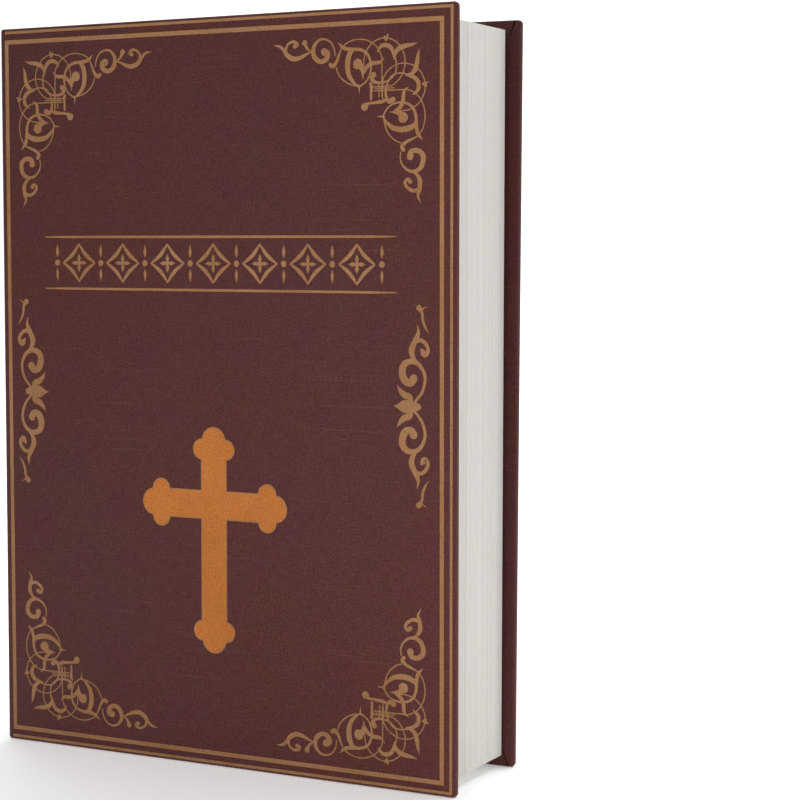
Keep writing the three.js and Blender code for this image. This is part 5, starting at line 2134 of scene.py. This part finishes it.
@dataclass
class Studio:
    """Pale sweep, soft lights and the camera."""

    focal_pixels: float = 2073.4
    image_pixels: float = 800.0
    eye: Point = (352.4, -583.9, 167.3)
    yaw: float = 27.093
    pitch: float = 4.18
    roll: float = 0.101
    sensor: float = 36.0
    paper: Colour = linear(248, 248, 248)
    glow: float = 0.25
    half_width: float = 4500.0
    bend_y: float = 1200.0
    bend_radius: float = 900.0
    air: float = 0.15

    def sweep(self) -> None:
        """Builds the floor that curves up behind the book."""
        pen = MeshPen()
        rows = []
        bend, radius = self.bend_y, self.bend_radius
        profile = [(-3500.0, 0.0), (bend, 0.0)]
        for step in range(1, 13):
            angle = step * math.pi / 24
            profile.append((bend + radius * math.sin(angle), radius * (1 - math.cos(angle))))
        profile.append((bend + radius, 4200.0))
        for y, z in profile:
            rows.append(pen.loop([(-self.half_width, y, z - 0.05), (self.half_width, y, z - 0.05)]))
        for before, after in zip(rows, rows[1:]):
            pen.bridge(before, after, closed=False)
        floor = pen.piece("studio_floor", 60.0)
        paint = ShaderPen("studio_paper")
        cloud = paint.noise(paint.millimetres(), (0.002, 0.002, 0.002), 1.0)
        tone = paint.ramp(cloud, [(0.3, self.paper), (0.7, tinted(self.paper, 1.03))])
        floor.data.materials.append(paint.finish(
            tone, 0.8, Specular_IOR_Level=0.15, Emission_Color=(1.0, 1.0, 1.0),
            Emission_Strength=self.glow))

    @staticmethod
    def light(name: str, place: Point, target: Point, size: Flat, power: float,
              colour: Colour) -> None:
        """Hangs one soft light.

        Args:
            name: Its name.
            place: Where it hangs, in millimetres.
            target: What it points at.
            size: Its width and height.
            power: Its power in watts.
            colour: Its colour.
        """
        lamp = bpy.data.lights.new(name, "AREA")
        lamp.shape = "RECTANGLE"
        lamp.size, lamp.size_y = size[0] * MM, size[1] * MM
        lamp.energy = power
        lamp.color = colour
        holder = bpy.data.objects.new(name, lamp)
        bpy.context.scene.collection.objects.link(holder)
        start, end = Vector(place) * MM, Vector(target) * MM
        holder.location = start
        holder.rotation_euler = (end - start).to_track_quat("-Z", "Y").to_euler()

    def camera(self) -> None:
        """Places the camera where the photograph was taken from."""
        yaw, pitch, roll = (math.radians(value) for value in (self.yaw, self.pitch, self.roll))
        ahead = Vector((-math.sin(yaw) * math.cos(pitch), math.cos(yaw) * math.cos(pitch),
                        -math.sin(pitch)))
        right = Vector((math.cos(yaw), math.sin(yaw), 0.0))
        up = right.cross(ahead)
        tilted = right * math.cos(roll) + up * math.sin(roll)
        up = tilted.cross(ahead)
        data = bpy.data.cameras.new("photo_camera")
        data.sensor_width = self.sensor
        data.lens = self.focal_pixels / self.image_pixels * self.sensor
        data.clip_start, data.clip_end = 0.01, 50.0
        holder = bpy.data.objects.new("photo_camera", data)
        turn = Matrix((tilted, up, -ahead)).transposed().to_4x4()
        holder.matrix_world = Matrix.Translation(Vector(self.eye) * MM) @ turn
        bpy.context.scene.collection.objects.link(holder)
        bpy.context.scene.camera = holder

    def build(self) -> None:
        """Builds the whole studio."""
        self.sweep()
        self.light("key", (-600, -1500, 450), (0, 0, 110), (1400, 1200), 6.0, (1.0, 0.985, 0.965))
        self.light("fill", (1500, -400, 500), (0, 0, 120), (1200, 1200), 2.0, (0.98, 0.99, 1.0))
        self.light("top", (0, 100, 1700), (0, 0, 0), (2000, 2000), 20.0, (1.0, 1.0, 1.0))
        self.light("backdrop", (0, 1000, 2300), (0, 2000, 600), (3500, 800), 40.0, (1.0, 1.0, 1.0))
        world = bpy.data.worlds.new("studio_air")
        world.use_nodes = True
        background = world.node_tree.nodes["Background"]
        background.inputs["Color"].default_value = (1.0, 1.0, 1.0, 1.0)
        background.inputs["Strength"].default_value = self.air
        bpy.context.scene.world = world
        bpy.context.scene.view_settings.view_transform = "Standard"
        self.camera()


def main() -> None:
    """Builds the sub-assemblies in order and reports each."""
    logging.basicConfig(level=logging.INFO, format="%(name)s: %(message)s")
    materials = Palette().made()
    for part in (CoverCase(materials), Gilding(materials), PageBlock(materials), SteelBox(materials),
                 DialLock(materials), Studio()):
        part.build()
        LOG.info("%s is built", type(part).__name__)


if __name__ == "__main__":
    main()
